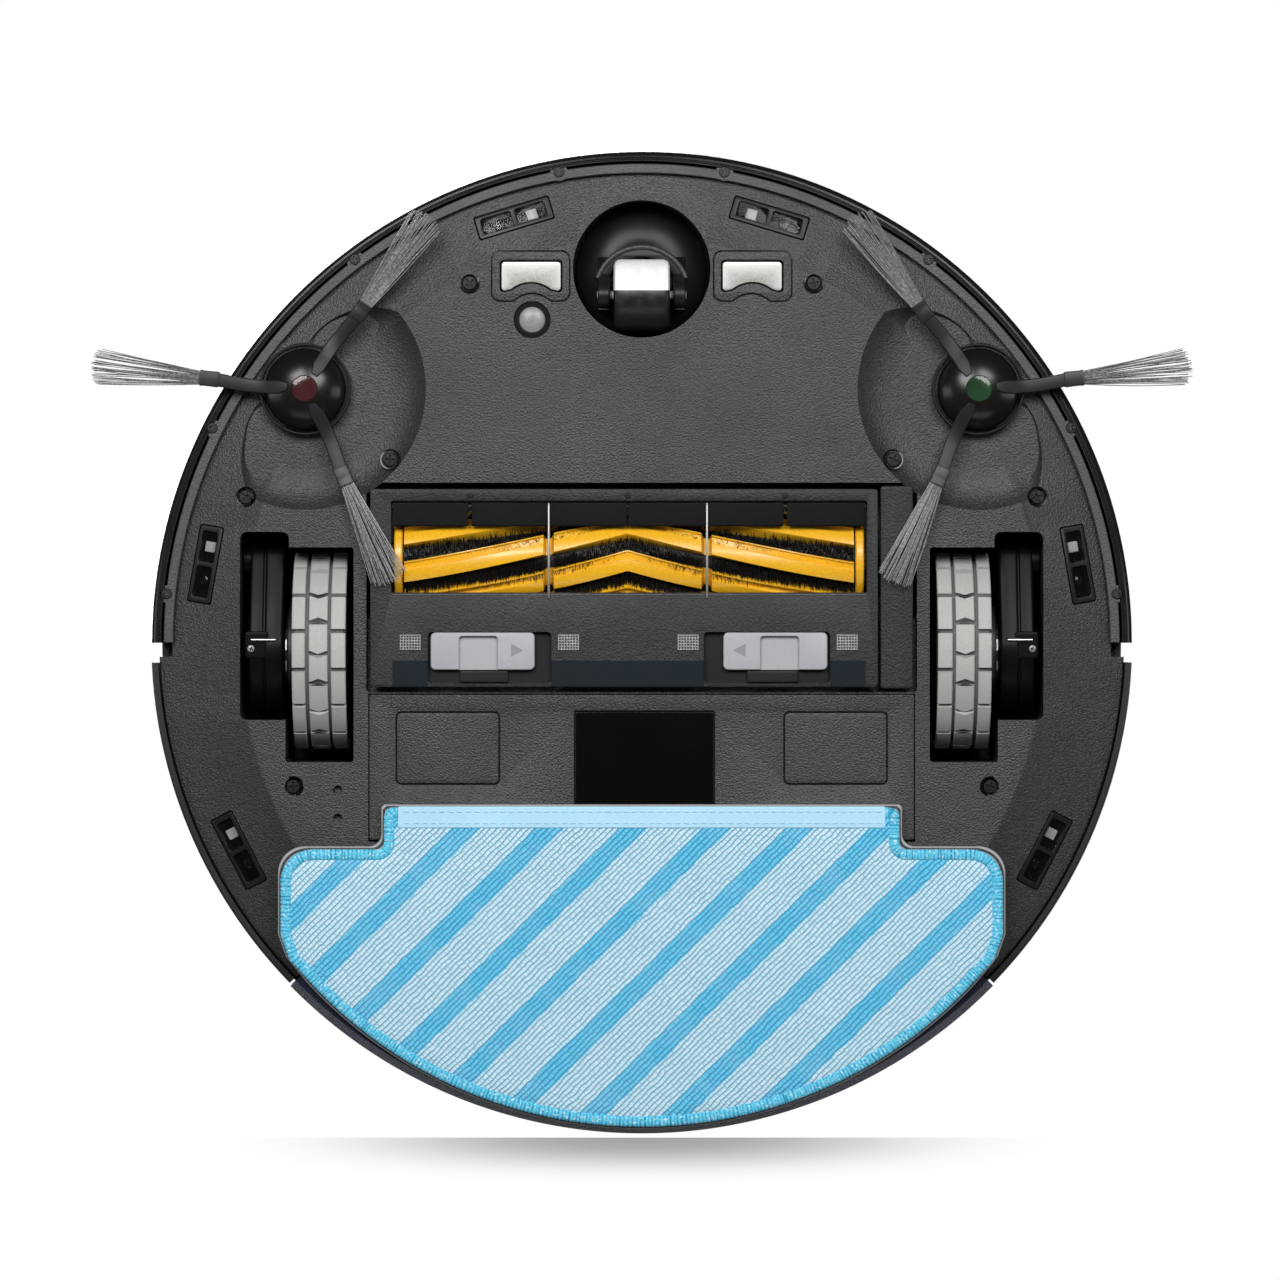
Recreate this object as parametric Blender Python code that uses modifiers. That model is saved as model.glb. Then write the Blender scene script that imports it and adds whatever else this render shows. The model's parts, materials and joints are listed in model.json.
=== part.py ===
"""Robot vacuum with a damp mop: a flat round robot on two drive wheels and a front caster.

Metres, +Z up. The origin is on the floor under the middle of the round body. The robot drives
towards -Y, and its left side is +X. Run with: blender --background --python part.py
"""

import math

import bmesh
import bpy
from mathutils import Matrix, Vector

# Heights above the floor
BELLY = 0.009
PLATE = 0.003
WALL_TOP = 0.0738
DECK_LOW = 0.0746
DECK_TOP = 0.078
TURRET_TOP = 0.0935
GUARD_LOW = 0.0042
TANK_LOW = 0.0067
TANK_TOP = 0.0462

# Radii of the round body
BUMPER_R = 0.175
SKIRT_R = 0.175
FLANGE_R = 0.1722
FRONT_R = 0.1674
TRAY_R = 0.167
CREASE_R = 0.1435
BELLY_SLOPE = 0.26

WALL = 0.002
GAP = 0.0003
SIDES = (("left", 1), ("right", -1))

# Drive wheels
WHEEL_Y = 0.0032
WHEEL_R = 0.0353
TYRE_IN, TYRE_OUT = 0.105, 0.1243
HUB_R = 0.028
ARM_IN, ARM_OUT = 0.1278, 0.140
PIVOT_Y, PIVOT_Z = -0.029, 0.030
WELL_TOP = 0.0724

# Caster
CASTER_Y = -0.1326
SOCKET_R, SOCKET_RIM = 0.0245, 0.0278
CASTER_AXLE_Y = -0.1234
CASTER_R = 0.01275

# Side brushes
BRUSH_X, BRUSH_Y = 0.1198, -0.0898
BRUSH_HUB_R = 0.0145
BRUSH_REACH = 0.0762
BRUSH_ANGLES = (-6, 114, 234)
DISH_R = 0.043

# Main roller and its guard
ROLLER_Y, ROLLER_Z = -0.029, 0.021
ROLLER_LEFT, ROLLER_RIGHT = 0.079, -0.088
LOBE_R, ROOT_R, GROOVE_R = 0.0182, 0.0138, 0.0145
WIRES_X = (0.0232, -0.033)

# Top
TURRET_Y = -0.052

# Mop tank bay
BAY_X = 0.1195
BAY_FRONT = 0.0734
BAY_TOP = 0.0466
MOUTH = Vector((0.125, 0.1213))

RIM_STEPS = 96

COLOURS = {
    "grained_black": ((0.022, 0.022, 0.024), 0.5, 0.0),
    "gloss_black": ((0.008, 0.008, 0.009), 0.12, 0.0),
    "satin_black": ((0.014, 0.014, 0.015), 0.35, 0.0),
    "tyre_grey": ((0.22, 0.22, 0.21), 0.7, 0.0),
    "hub_grey": ((0.06, 0.06, 0.065), 0.5, 0.0),
    "latch_grey": ((0.2, 0.2, 0.21), 0.45, 0.0),
    "roller_yellow": ((0.85, 0.42, 0.02), 0.35, 0.0),
    "steel": ((0.6, 0.6, 0.6), 0.3, 1.0),
    "smoky_tank": ((0.03, 0.035, 0.06), 0.1, 0.0),
    "plate_grey": ((0.3, 0.3, 0.31), 0.5, 0.0),
    "mop_blue": ((0.35, 0.62, 0.85), 0.9, 0.0),
    "lens_smoke": ((0.02, 0.02, 0.022), 0.1, 0.0),
    "board_green": ((0.02, 0.12, 0.05), 0.5, 0.0),
    "battery_blue": ((0.05, 0.12, 0.35), 0.4, 0.0),
    "caster_white": ((0.8, 0.8, 0.8), 0.35, 0.0),
}


def clear_scene():
    for obj in list(bpy.data.objects):
        bpy.data.objects.remove(obj, do_unlink=True)


def material(slot):
    if slot in bpy.data.materials:
        return bpy.data.materials[slot]
    colour, roughness, metallic = COLOURS[slot]
    made = bpy.data.materials.new(slot)
    made.use_nodes = True
    shader = made.node_tree.nodes["Principled BSDF"]
    shader.inputs["Base Color"].default_value = (*colour, 1.0)
    shader.inputs["Roughness"].default_value = roughness
    shader.inputs["Metallic"].default_value = metallic
    made.diffuse_color = (*colour, 1.0)
    return made


def collection(name):
    made = bpy.data.collections.new(name)
    bpy.context.scene.collection.children.link(made)
    return made


def keep(name, mesh, slot):
    """A new object: a part where it has a material slot, and a hidden tool where it has none."""
    obj = bpy.data.objects.new(name, mesh)
    if slot:
        mesh.materials.clear()
        mesh.materials.append(material(slot))
        PARTS.objects.link(obj)
    else:
        TOOLS.objects.link(obj)
        obj.hide_render = True
        obj.display_type = "WIRE"
    return obj


def finish_mesh(bm, name, smooth_under=30):
    mesh = bpy.data.meshes.new(name)
    bm.to_mesh(mesh)
    bm.free()
    mesh.shade_smooth()
    mesh.set_sharp_from_angle(angle=math.radians(smooth_under))
    return mesh


def box(name, low, high, slot=None, turn=None):
    """A box between two corners; turn is a matrix applied after it is made."""
    low, high = Vector(low), Vector(high)
    bm = bmesh.new()
    place = Matrix.Translation((low + high) / 2) @ Matrix.Diagonal((*(high - low), 1))
    bmesh.ops.create_cube(bm, size=1, matrix=(turn or Matrix()) @ place)
    return keep(name, finish_mesh(bm, name), slot)


def rod(name, radius, start, end, slot=None, sides=24):
    """A solid cylinder from one point to another."""
    start, end = Vector(start), Vector(end)
    bm = bmesh.new()
    turn = Vector((0, 0, 1)).rotation_difference(end - start).to_matrix().to_4x4()
    place = Matrix.Translation((start + end) / 2) @ turn
    depth = (end - start).length
    bmesh.ops.create_cone(
        bm, cap_ends=True, segments=sides, radius1=radius, radius2=radius, depth=depth, matrix=place
    )
    return keep(name, finish_mesh(bm, name), slot)


def bar(name, start, end, width, height, slot=None):
    """A straight flat bar between two points, its width level."""
    start, end = Vector(start), Vector(end)
    turn = (end - start).to_track_quat("X", "Z").to_matrix().to_4x4()
    place = Matrix.Translation((start + end) / 2) @ turn
    half = Vector(((end - start).length, width, height)) / 2
    return box(name, -half, half, slot, place)


def turned(name, profile, slot=None, steps=24, centre=(0, 0, 0), tilt=(0, 0, 0)):
    """A body of revolution from a closed outline of (radius, height), outer side top to bottom."""
    bm = bmesh.new()
    points = [bm.verts.new((radius, 0, height)) for radius, height in profile]
    for a, b in zip(points, points[1:] + points[:1]):
        if a.co.x > 0 or b.co.x > 0:
            bm.edges.new((a, b))
    obj = keep(name, finish_mesh(bm, name), slot)
    spin = obj.modifiers.new("turn", "SCREW")
    spin.steps = steps
    spin.render_steps = steps
    spin.use_merge_vertices = True
    spin.merge_threshold = 0.00001
    spin.use_smooth_shade = True
    obj.location = centre
    obj.rotation_euler = tilt
    return obj


def prism(name, outlines, low, high, slot=None, turn=None):
    """A flat outline, with any holes in it, made solid between two heights."""
    curve = bpy.data.curves.new(name, "CURVE")
    curve.dimensions = "2D"
    curve.fill_mode = "BOTH"
    curve.extrude = (high - low) / 2
    for points in outlines:
        spline = curve.splines.new("POLY")
        spline.points.add(len(points) - 1)
        for point, (x, y) in zip(spline.points, points):
            point.co = (x, y, 0, 1)
        spline.use_cyclic_u = True
    guide = bpy.data.objects.new(name + "_outline", curve)
    TOOLS.objects.link(guide)
    guide.matrix_world = (turn or Matrix()) @ Matrix.Translation((0, 0, (low + high) / 2))
    bpy.context.view_layer.update()
    graph = bpy.context.evaluated_depsgraph_get()
    mesh = bpy.data.meshes.new_from_object(guide.evaluated_get(graph))
    mesh.transform(guide.matrix_world)
    bpy.data.objects.remove(guide, do_unlink=True)
    bm = bmesh.new()
    bm.from_mesh(mesh)
    bmesh.ops.remove_doubles(bm, verts=bm.verts, dist=0.000001)
    bmesh.ops.recalc_face_normals(bm, faces=bm.faces)
    return keep(name, finish_mesh(bm, name), slot)


def arc(centre, radius, start, end, count):
    """Points along an arc, from one angle to another in degrees."""
    angles = [math.radians(start + (end - start) * i / count) for i in range(count + 1)]
    return [(centre[0] + radius * math.cos(a), centre[1] + radius * math.sin(a)) for a in angles]


def rounded(low, high, radius, count=3):
    """The outline of a rectangle with round corners."""
    points = []
    for x, y, start in (
        (high[0] - radius, low[1] + radius, -90),
        (high[0] - radius, high[1] - radius, 0),
        (low[0] + radius, high[1] - radius, 90),
        (low[0] + radius, low[1] + radius, 180),
    ):
        points += arc((x, y), radius, start, start + 90, count)
    return points


def mirrored(points):
    """An outline whose +X half is given from front to back, with its other half added."""
    return points + [(-x, y) for x, y in reversed(points) if x > 0.0001]


def on_side(points, side):
    return [(side * x, y) for x, y in points]


def cut(obj, *tools):
    for tool in tools:
        boolean = obj.modifiers.new("cut", "BOOLEAN")
        boolean.operation = "DIFFERENCE"
        boolean.object = tool


def unite(obj, *tools):
    for tool in tools:
        boolean = obj.modifiers.new("join", "BOOLEAN")
        boolean.operation = "UNION"
        boolean.object = tool


def within(obj, tool):
    """Keeps only what lies inside the tool."""
    boolean = obj.modifiers.new("within", "BOOLEAN")
    boolean.operation = "INTERSECT"
    boolean.object = tool
    return obj


def pair(side, near, far):
    """Low and high X of a span between two distances from the middle, on the side named by a sign."""
    return sorted((side * near, side * far))


def side_box(name, side, near, far, ys, zs, slot=None):
    low_x, high_x = pair(side, near, far)
    return box(name, (low_x, ys[0], zs[0]), (high_x, ys[1], zs[1]), slot)


# Base shell


def front_cutter(name, inner, back, top):
    """A half ring in front of the line y = back, outside the inner radius."""
    outline = [(0.19, back), *arc((0, 0), 0.19, 0, -180, 24), (-0.19, back)]
    edge = math.degrees(math.asin(back / inner))
    outline += arc((0, 0), inner, -180 - edge, edge, 64)
    return prism(name, [outline], 0.002, top)


def bay_outline(grow):
    """The mop tank bay seen from above, open at the rear."""
    mouth = MOUTH + Vector((grow, 0))
    far = mouth * 1.06
    angle = math.degrees(math.atan2(far.y, far.x))
    points = [(BAY_X + grow, BAY_FRONT - grow), (BAY_X + grow, 0.1162), tuple(mouth)]
    return mirrored(points + arc((0, 0), far.length, angle, 90, 12))


def dish_outline(grow):
    """The dish under the left side brush: a wide arc inboard, the hub's ring outboard."""
    hub = (BRUSH_X, BRUSH_Y)
    inboard = arc(hub, DISH_R + grow, 62, 220, 20) + arc(hub, 0.036 + grow, 232, 232, 1)[:1]
    return inboard + arc(hub, 0.0163 + grow, 265, 375, 10) + arc(hub, 0.0285 + grow, 39, 39, 1)[:1]


def inside_tray(lift=0.0009, top=0.03):
    """The space just above the belly's outer skin, inside the tray's outer wall."""
    rim = TRAY_R - 0.0003
    profile = [
        (rim, top),
        (rim, BELLY + lift + BELLY_SLOPE * (rim - CREASE_R)),
        (CREASE_R, BELLY + lift),
        (0, BELLY + lift),
        (0, top),
    ]
    return turned("inside_tray", profile, None, RIM_STEPS)


def lens_places():
    """Middle and turn of each cliff-sensor window, flat on the sloping rim."""
    places = []
    for name, x, y, spin in (
        ("front", 0.0455, -0.151, 17),
        ("side", 0.1555, -0.0275, 80),
        ("rear", 0.1437, 0.0745, 115),
    ):
        for side_name, side in SIDES:
            radius = math.hypot(x, y)
            height = BELLY + BELLY_SLOPE * (radius - CREASE_R)
            turn = Matrix.Rotation(math.radians(side * spin), 4, "Z")
            place = Matrix.Translation((side * x, y, height)) @ turn
            outward = 1 if spin < 90 and y < -0.1 else -1
            lean = Matrix.Rotation(math.radians(14.5) * (-outward if name == "front" else side), 4, "X")
            places.append((f"cliff_lens_{name}_{side_name}", place @ lean))
    return places


def make_base_shell():
    slope_end = BELLY + BELLY_SLOPE * (FLANGE_R - CREASE_R)
    profile = [
        (TRAY_R, WALL_TOP),
        (TRAY_R, slope_end + PLATE),
        (FLANGE_R, slope_end + PLATE),
        (FLANGE_R, slope_end),
        (CREASE_R, BELLY),
        (0, BELLY),
        (0, BELLY + PLATE),
        (CREASE_R - 0.0006, BELLY + PLATE),
        (TRAY_R - 0.0025, slope_end + PLATE - 0.001),
        (TRAY_R - 0.0025, WALL_TOP),
    ]
    shell = turned("base_shell", profile, "grained_black", RIM_STEPS)
    joins, cuts = [], [front_cutter("front_trim", FRONT_R, 0.0055, 0.04)]
    room = inside_tray()
    for name, side in SIDES:
        hub = (side * BRUSH_X, BRUSH_Y)
        joins += [
            within(prism(f"dish_floor_{name}", [on_side(dish_outline(0.0022), side)], 0.005, 0.0172), room),
            within(rod(f"brush_well_wall_{name}", 0.0186, (*hub, 0.005), (*hub, 0.0208), sides=32), room),
        ]
        cuts += [
            side_box(f"gear_hole_{name}", side, 0.1235, 0.1453, (-0.0413, 0.0303), (0.002, 0.03)),
            side_box(f"wheel_hole_{name}", side, 0.1000, 0.1286, (-0.0358, 0.0453), (0.002, 0.03)),
            prism(f"dish_{name}", [on_side(dish_outline(0), side)], 0.002, 0.0146),
            rod(f"brush_well_{name}", 0.0163, (*hub, 0.002), (*hub, 0.0176), sides=32),
            rod(f"shaft_hole_{name}", 0.0035, (*hub, 0.015), (*hub, 0.024), sides=16),
            side_box(f"contact_hole_{name}", side, 0.0284, 0.0505, (-0.1355, -0.1244), (0.002, 0.02)),
        ]
        for i, (x, y) in enumerate(((0.0613, -0.1276), (0.0896, -0.0648), (0.141, -0.0515), (0.124, 0.0516))):
            depth = BELLY + 0.0016 + BELLY_SLOPE * max(0, math.hypot(x, y) - CREASE_R)
            low, high = (side * x, y, 0.002), (side * x, y, depth)
            cuts.append(rod(f"screw_well_{name}_{i}", 0.0031, low, high, sides=16))
    plug_groove = [
        (0.0066, 0.0110), (0.0066, 0.0020), (0, 0.0020), (0, 0.0094), (0.0047, 0.0100), (0.0047, 0.0110),
    ]
    wall_end = math.sqrt(0.1668**2 - 0.1215**2)
    end_angle = math.degrees(math.atan2(wall_end, 0.1215))
    bay_wall = mirrored([(0.1215, BAY_FRONT - WALL), *arc((0, 0), 0.1668, end_angle, 90, 10)])
    joins.append(prism("bay_housing", [bay_wall], 0.0101, BAY_TOP + WALL))
    cuts += [
        box("chamber_hole", (-0.1003, -0.0583, 0.002), (0.1003, 0.0187, 0.03)),
        prism("bay", [bay_outline(0)], 0.002, BAY_TOP),
        rod("socket_hole", SOCKET_RIM + GAP, (0, CASTER_Y, 0.002), (0, CASTER_Y, 0.035), sides=40),
        turned("plug_groove", plug_groove, None, 20, (-0.039, -0.1145, 0)),
        box("panel_hole", (-0.0973, 0.0186, 0.002), (0.0973, 0.071, 0.0135)),
    ]
    for name, place in lens_places():
        cuts.append(box(name + "_hole", (-0.0142, -0.0047, -0.006), (0.0142, 0.0047, 0.008), None, place))
    unite(shell, *joins)
    cut(shell, *cuts)


def make_housings():
    """The wells let into the belly: one for each drive wheel, one for the roller, one for the caster."""
    chamber = box("brush_chamber", (-0.0998, -0.058, 0.0094), (0.0998, -0.006, 0.044), "grained_black")
    unite(chamber, box("cover_rim", (-0.0998, -0.007, 0.0094), (0.0998, 0.0183, 0.0165)))
    cut(
        chamber,
        box("chamber", (-0.0977, -0.056, 0.002), (0.0977, -0.008, 0.042)),
        box("cover_recess", (-0.0976, -0.0085, 0.002), (0.0976, 0.0173, 0.0143)),
        box("duct_hole", (-0.030, -0.0095, 0.024), (0.030, -0.003, 0.038)),
    )
    cup = [
        (SOCKET_RIM, 0.012 + PLATE),
        (SOCKET_RIM, 0.002),
        (SOCKET_R, 0.002),
        (SOCKET_R, 0.0350),
        (0, 0.0350),
        (0, 0.0370),
        (SOCKET_R + WALL, 0.0370),
        (SOCKET_R + WALL, 0.012 + PLATE),
    ]
    socket = turned("caster_socket", cup, "grained_black", 40, (0, CASTER_Y, 0))
    within(socket, inside_tray(0.0004, 0.04))
    for name, side in SIDES:
        housing = side_box(
            f"wheel_housing_{name}", side, 0.1003, 0.1283, (-0.0355, 0.045), (0.005, 0.0740), "grained_black"
        )
        unite(housing, side_box(f"gear_housing_{name}", side, 0.124, 0.145, (-0.041, 0.030), (0.005, 0.0740)))
        within(housing, inside_tray(0.0004, 0.08))
        cut(
            housing,
            side_box(f"gear_pocket_{name}", side, 0.1255, 0.143, (-0.039, 0.028), (0.002, WELL_TOP)),
            side_box(f"wheel_pocket_{name}", side, 0.1025, 0.1263, (-0.0335, 0.043), (0.002, WELL_TOP - GAP)),
        )


def make_belly_pieces():
    box("rear_panel", (-0.097, 0.0189, BELLY), (0.097, 0.0707, BELLY + 0.0027), "grained_black")
    box("side_cover", (0.0848, -0.0553, 0.0062), (0.0965, 0.0168, 0.0100), "grained_black")
    for name, side in SIDES:
        contact = f"charge_contact_{name}"
        side_box(contact, side, 0.0287, 0.0502, (-0.1352, -0.1247), (0.0098, 0.0114), "steel")
    for name, place in lens_places():
        box(name, (-0.0138, -0.0043, 0.0004), (0.0138, 0.0043, 0.0075), "lens_smoke", place)


# Top


def lid_outline(grow):
    edge = 0.148 + grow
    front = 0.0064 - grow
    start = math.degrees(math.asin(front / edge))
    return arc((0, 0), edge, start, 180 - start, 40)


def make_top_shell():
    low = 0.0146
    profile = [
        (0, DECK_TOP),
        (0.1705, DECK_TOP),
        (0.1732, DECK_TOP - 0.0010),
        (SKIRT_R, DECK_TOP - 0.0030),
        (SKIRT_R, low + 0.0008),
        (SKIRT_R - 0.0008, low),
        (SKIRT_R - 0.0024, low),
        (SKIRT_R - 0.0024, DECK_LOW),
        (0, DECK_LOW),
    ]
    shell = turned("top_shell", profile, "satin_black", RIM_STEPS)
    cut(
        shell,
        front_cutter("skirt_trim", 0.1686, 0.0075, 0.0740),
        prism("skirt_bay", [bay_outline(0)], 0.002, BAY_TOP),
        prism("lid_recess", [lid_outline(0.0004)], 0.0756, 0.085),
        box("bin_hatch", (-0.0945, 0.0195, 0.07), (0.0425, 0.0725, 0.08)),
        rod("button_hole", 0.0086, (0, -0.130, 0.07), (0, -0.130, 0.08), sides=24),
    )


def make_top_pieces():
    prism("lid", [lid_outline(0)], 0.0760, DECK_TOP, "gloss_black")
    button = [
        (0, 0.0786), (0.0072, 0.0786), (0.0082, 0.0780), (0.0082, 0.0758),
        (0.0050, 0.0756), (0.0050, 0.0720), (0, 0.0720),
    ]
    turned("start_button", button, "hub_grey", 24, (0, -0.130, 0))
    base = [(0.0440, 0.0800), (0.0440, 0.0783), (0.0340, 0.0783), (0.0340, 0.0815), (0.0425, 0.0815)]
    turned("lidar_base", base, "satin_black", 40, (0, TURRET_Y, 0))
    rotor = [(0, 0.0885), (0.0290, 0.0885), (0.0310, 0.0870), (0.0310, 0.0790), (0, 0.0790)]
    turned("lidar_rotor", rotor, "satin_black", 32, (0, TURRET_Y, 0))
    shoulder = (0.0425, TURRET_TOP - 0.0012)
    cap = [(0, TURRET_TOP), (0.0395, TURRET_TOP), shoulder, (0.0430, 0.0898), (0, 0.0898)]
    lidar_cap = turned("lidar_cap", cap, "gloss_black", 40, (0, TURRET_Y, 0))
    for i in range(4):
        x, y = 0.038 * math.cos(math.radians(45 + 90 * i)), 0.038 * math.sin(math.radians(45 + 90 * i))
        low, high = (x, TURRET_Y + y, 0.0818), (x, TURRET_Y + y, 0.0910)
        unite(lidar_cap, rod(f"turret_post_{i}", 0.0026, low, high, sides=10))


# Bumper


def make_bumper():
    profile = [
        (0.1738, 0.0736),
        (BUMPER_R, 0.0722),
        (BUMPER_R, 0.0166),
        (0.1740, 0.0136),
        (0.1726, 0.0128),
        (0.1712, 0.0128),
        (0.1712, 0.0150),
        (0.1723, 0.0164),
        (0.1723, 0.0736),
    ]
    shell = turned("bumper_shell", profile, "gloss_black", RIM_STEPS)
    cut(shell, box("bumper_back", (-0.2, 0.0005, -0.01), (0.2, 0.2, 0.1)))
    ring = [(0.1708, 0.0136), (0.1708, 0.0122), (0.1669, 0.0122), (0.1669, 0.0136)]
    retainer = turned("bumper_retainer", ring, "grained_black", RIM_STEPS)
    cut(retainer, box("retainer_back", (-0.2, 0.0003, -0.01), (0.2, 0.2, 0.1)))


# Inside


def make_inner_pieces():
    box("battery_pack", (-0.072, -0.1012, 0.014), (0.072, -0.062, 0.038), "battery_blue")
    box("main_board", (-0.070, -0.104, 0.0440), (0.070, -0.064, 0.0456), "board_green")
    rod("brush_motor", 0.011, (0.040, 0.006, 0.030), (0.086, 0.006, 0.030), "steel", 20)
    rod("suction_fan", 0.0225, (0.069, 0.046, 0.0165), (0.069, 0.046, 0.062), "satin_black", 28)
    duct = box("suction_duct", (-0.033, -0.0055, 0.021), (0.033, 0.0215, 0.041), "satin_black")
    cut(duct, box("duct_inside", (-0.030, -0.02, 0.024), (0.030, 0.03, 0.038)))
    dust_bin = box("dust_bin", (-0.092, 0.022, 0.0160), (0.040, 0.070, 0.0735), "smoky_tank")
    cut(
        dust_bin,
        box("bin_inside", (-0.090, 0.024, 0.018), (0.038, 0.068, 0.09)),
        box("bin_inlet", (-0.0302, 0.01, 0.0242), (0.0302, 0.03, 0.0378)),
        box("bin_outlet", (0.030, 0.030, 0.034), (0.05, 0.062, 0.056)),
    )
    box("bin_filter", (0.0335, 0.0262, 0.030), (0.0375, 0.0658, 0.060), "caster_white")
    for name, side in SIDES:
        x, y = side * BRUSH_X, BRUSH_Y
        motor = rod(f"side_brush_motor_{name}", 0.012, (x, y, 0.0213), (x, y, 0.046), "steel", 20)
        unite(motor, rod(f"motor_shaft_{name}", 0.0022, (x, y, 0.0105), (x, y, 0.024), sides=12))


# Caster


def make_caster():
    fork = rod("caster_fork", 0.0236, (0, CASTER_Y, 0.0265), (0, CASTER_Y, 0.0340), "satin_black", 36)
    for name, side in SIDES:
        unite(fork, side_box(f"cheek_{name}", side, 0.0113, 0.0152, (-0.138, -0.1155), (0.0085, 0.0275)))
    axle_low, axle_high = (-0.0149, CASTER_AXLE_Y, CASTER_R), (0.0149, CASTER_AXLE_Y, CASTER_R)
    bore_ends = [(x, CASTER_AXLE_Y, CASTER_R) for x in (-0.02, 0.02)]
    cut(fork, rod("fork_bore", 0.0019, *bore_ends, sides=12))
    rod("caster_axle", 0.0015, axle_low, axle_high, "steel", 12)
    wheel = [
        (CASTER_R - 0.0018, 0.010),
        (CASTER_R, 0.0072),
        (CASTER_R, -0.0072),
        (CASTER_R - 0.0018, -0.010),
        (0.0019, -0.010),
        (0.0019, 0.010),
    ]
    turned("caster_wheel", wheel, "caster_white", 36, (0, CASTER_AXLE_Y, CASTER_R), (0, math.pi / 2, 0))


# Drive wheels


def arm_outline():
    """Side view (y, z) of the gearbox arm: a small circle at the pivot, a big one at the wheel."""
    return arc((PIVOT_Y, PIVOT_Z), 0.007, 112, 262, 8) + arc((WHEEL_Y, WHEEL_R), 0.0238, 262, 472, 20)


def make_drive_wheel(name, side):
    # The arm's outline is drawn in X and Y, then stood up so that it lies in Y and Z.
    stand = Matrix(((0, 0, 1, 0), (1, 0, 0, 0), (0, 1, 0, 0), (0, 0, 0, 1)))
    low, high = pair(side, ARM_IN, ARM_OUT)
    arm = prism(f"gearbox_{name}", [arm_outline()], low, high, "satin_black", stand)
    boss_low, boss_high = side * (ARM_OUT - 0.0005), side * 0.1424
    boss_ends = [(x, PIVOT_Y, PIVOT_Z) for x in (boss_low, boss_high)]
    unite(arm, rod(f"arm_boss_{name}", 0.006, *boss_ends, sides=16))
    hub_at = (WHEEL_Y, WHEEL_R)
    motor_ends = [(side * x, *hub_at) for x in (0.1085, ARM_IN - GAP)]
    rod(f"drive_motor_{name}", 0.0125, *motor_ends, "steel", 20)
    span = (TYRE_OUT - TYRE_IN) / 2
    floor = -span + 0.002
    hub = [(HUB_R, span), (HUB_R, -span), (0.004, -span), (0.004, floor), (0.0140, floor), (0.0140, span)]
    centre = (side * (TYRE_IN + TYRE_OUT) / 2, WHEEL_Y, WHEEL_R)
    tilt = (0, math.pi / 2 * side, 0)
    turned(f"wheel_hub_{name}", hub, "hub_grey", 36, centre, tilt)
    tyre = [
        (WHEEL_R - 0.0012, span), (WHEEL_R, span - 0.0015), (WHEEL_R, -span + 0.0015),
        (WHEEL_R - 0.0012, -span), (HUB_R + GAP, -span), (HUB_R + GAP, span),
    ]
    turned(f"tyre_{name}", tyre, "tyre_grey", 48, centre, tilt)
    make_spring(f"suspension_spring_{name}", (side * 0.134, 0.0135, 0.0572), 0.0705, 0.0042, 3.5)


def make_spring(name, foot, top, radius, turns):
    curve = bpy.data.curves.new(name, "CURVE")
    curve.dimensions = "3D"
    curve.bevel_depth = 0.0006
    curve.bevel_resolution = 1
    curve.use_fill_caps = True
    spline = curve.splines.new("POLY")
    count = int(turns * 9)
    spline.points.add(count)
    for i, point in enumerate(spline.points):
        angle = 2 * math.pi * turns * i / count
        rise = foot[2] + (top - foot[2]) * i / count
        point.co = (foot[0] + radius * math.cos(angle), foot[1] + radius * math.sin(angle), rise, 1)
    obj = bpy.data.objects.new(name, curve)
    curve.materials.append(material("steel"))
    PARTS.objects.link(obj)


# Side brushes


def make_side_brush(name, side):
    hub = [
        (0.0060, 0.0150),
        (0.0060, 0.0118),
        (0.0135, 0.0118),
        (BRUSH_HUB_R, 0.0105),
        (0.0134, 0.0066),
        (0.0108, 0.0042),
        (0.0070, 0.0029),
        (0, 0.0024),
        (0, 0.0085),
        (0.0028, 0.0085),
        (0.0028, 0.0150),
    ]
    centre = Vector((side * BRUSH_X, BRUSH_Y, 0))
    brush = turned(f"side_brush_{name}", hub, "satin_black", 32, centre)
    for i, angle in enumerate(BRUSH_ANGLES):
        spin = math.radians(angle if side > 0 else 180 - angle)
        away = Vector((math.cos(spin), math.sin(spin), 0))
        start, end = centre + away * 0.009, centre + away * 0.0365
        low, high = start + Vector((0, 0, 0.0072)), end + Vector((0, 0, 0.0042))
        arm = bar(f"brush_arm_{name}_{i}", low, high, 0.0045, 0.0026)
        fan = [(0.0345, -0.0019), (BRUSH_REACH, -0.0062), (BRUSH_REACH, 0.0062), (0.0345, 0.0019)]
        droop = Matrix.Translation((0.0345, 0, 0.0037)) @ Matrix.Rotation(math.radians(3.4), 4, "Y")
        place = Matrix.Translation(centre) @ Matrix.Rotation(spin, 4, "Z") @ droop
        shifted = [(x - 0.0345, y) for x, y in fan]
        tuft = prism(f"brush_tuft_{name}_{i}", [shifted], -0.0007, 0.0007, None, place)
        unite(brush, arm, tuft)


# Main roller


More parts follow.
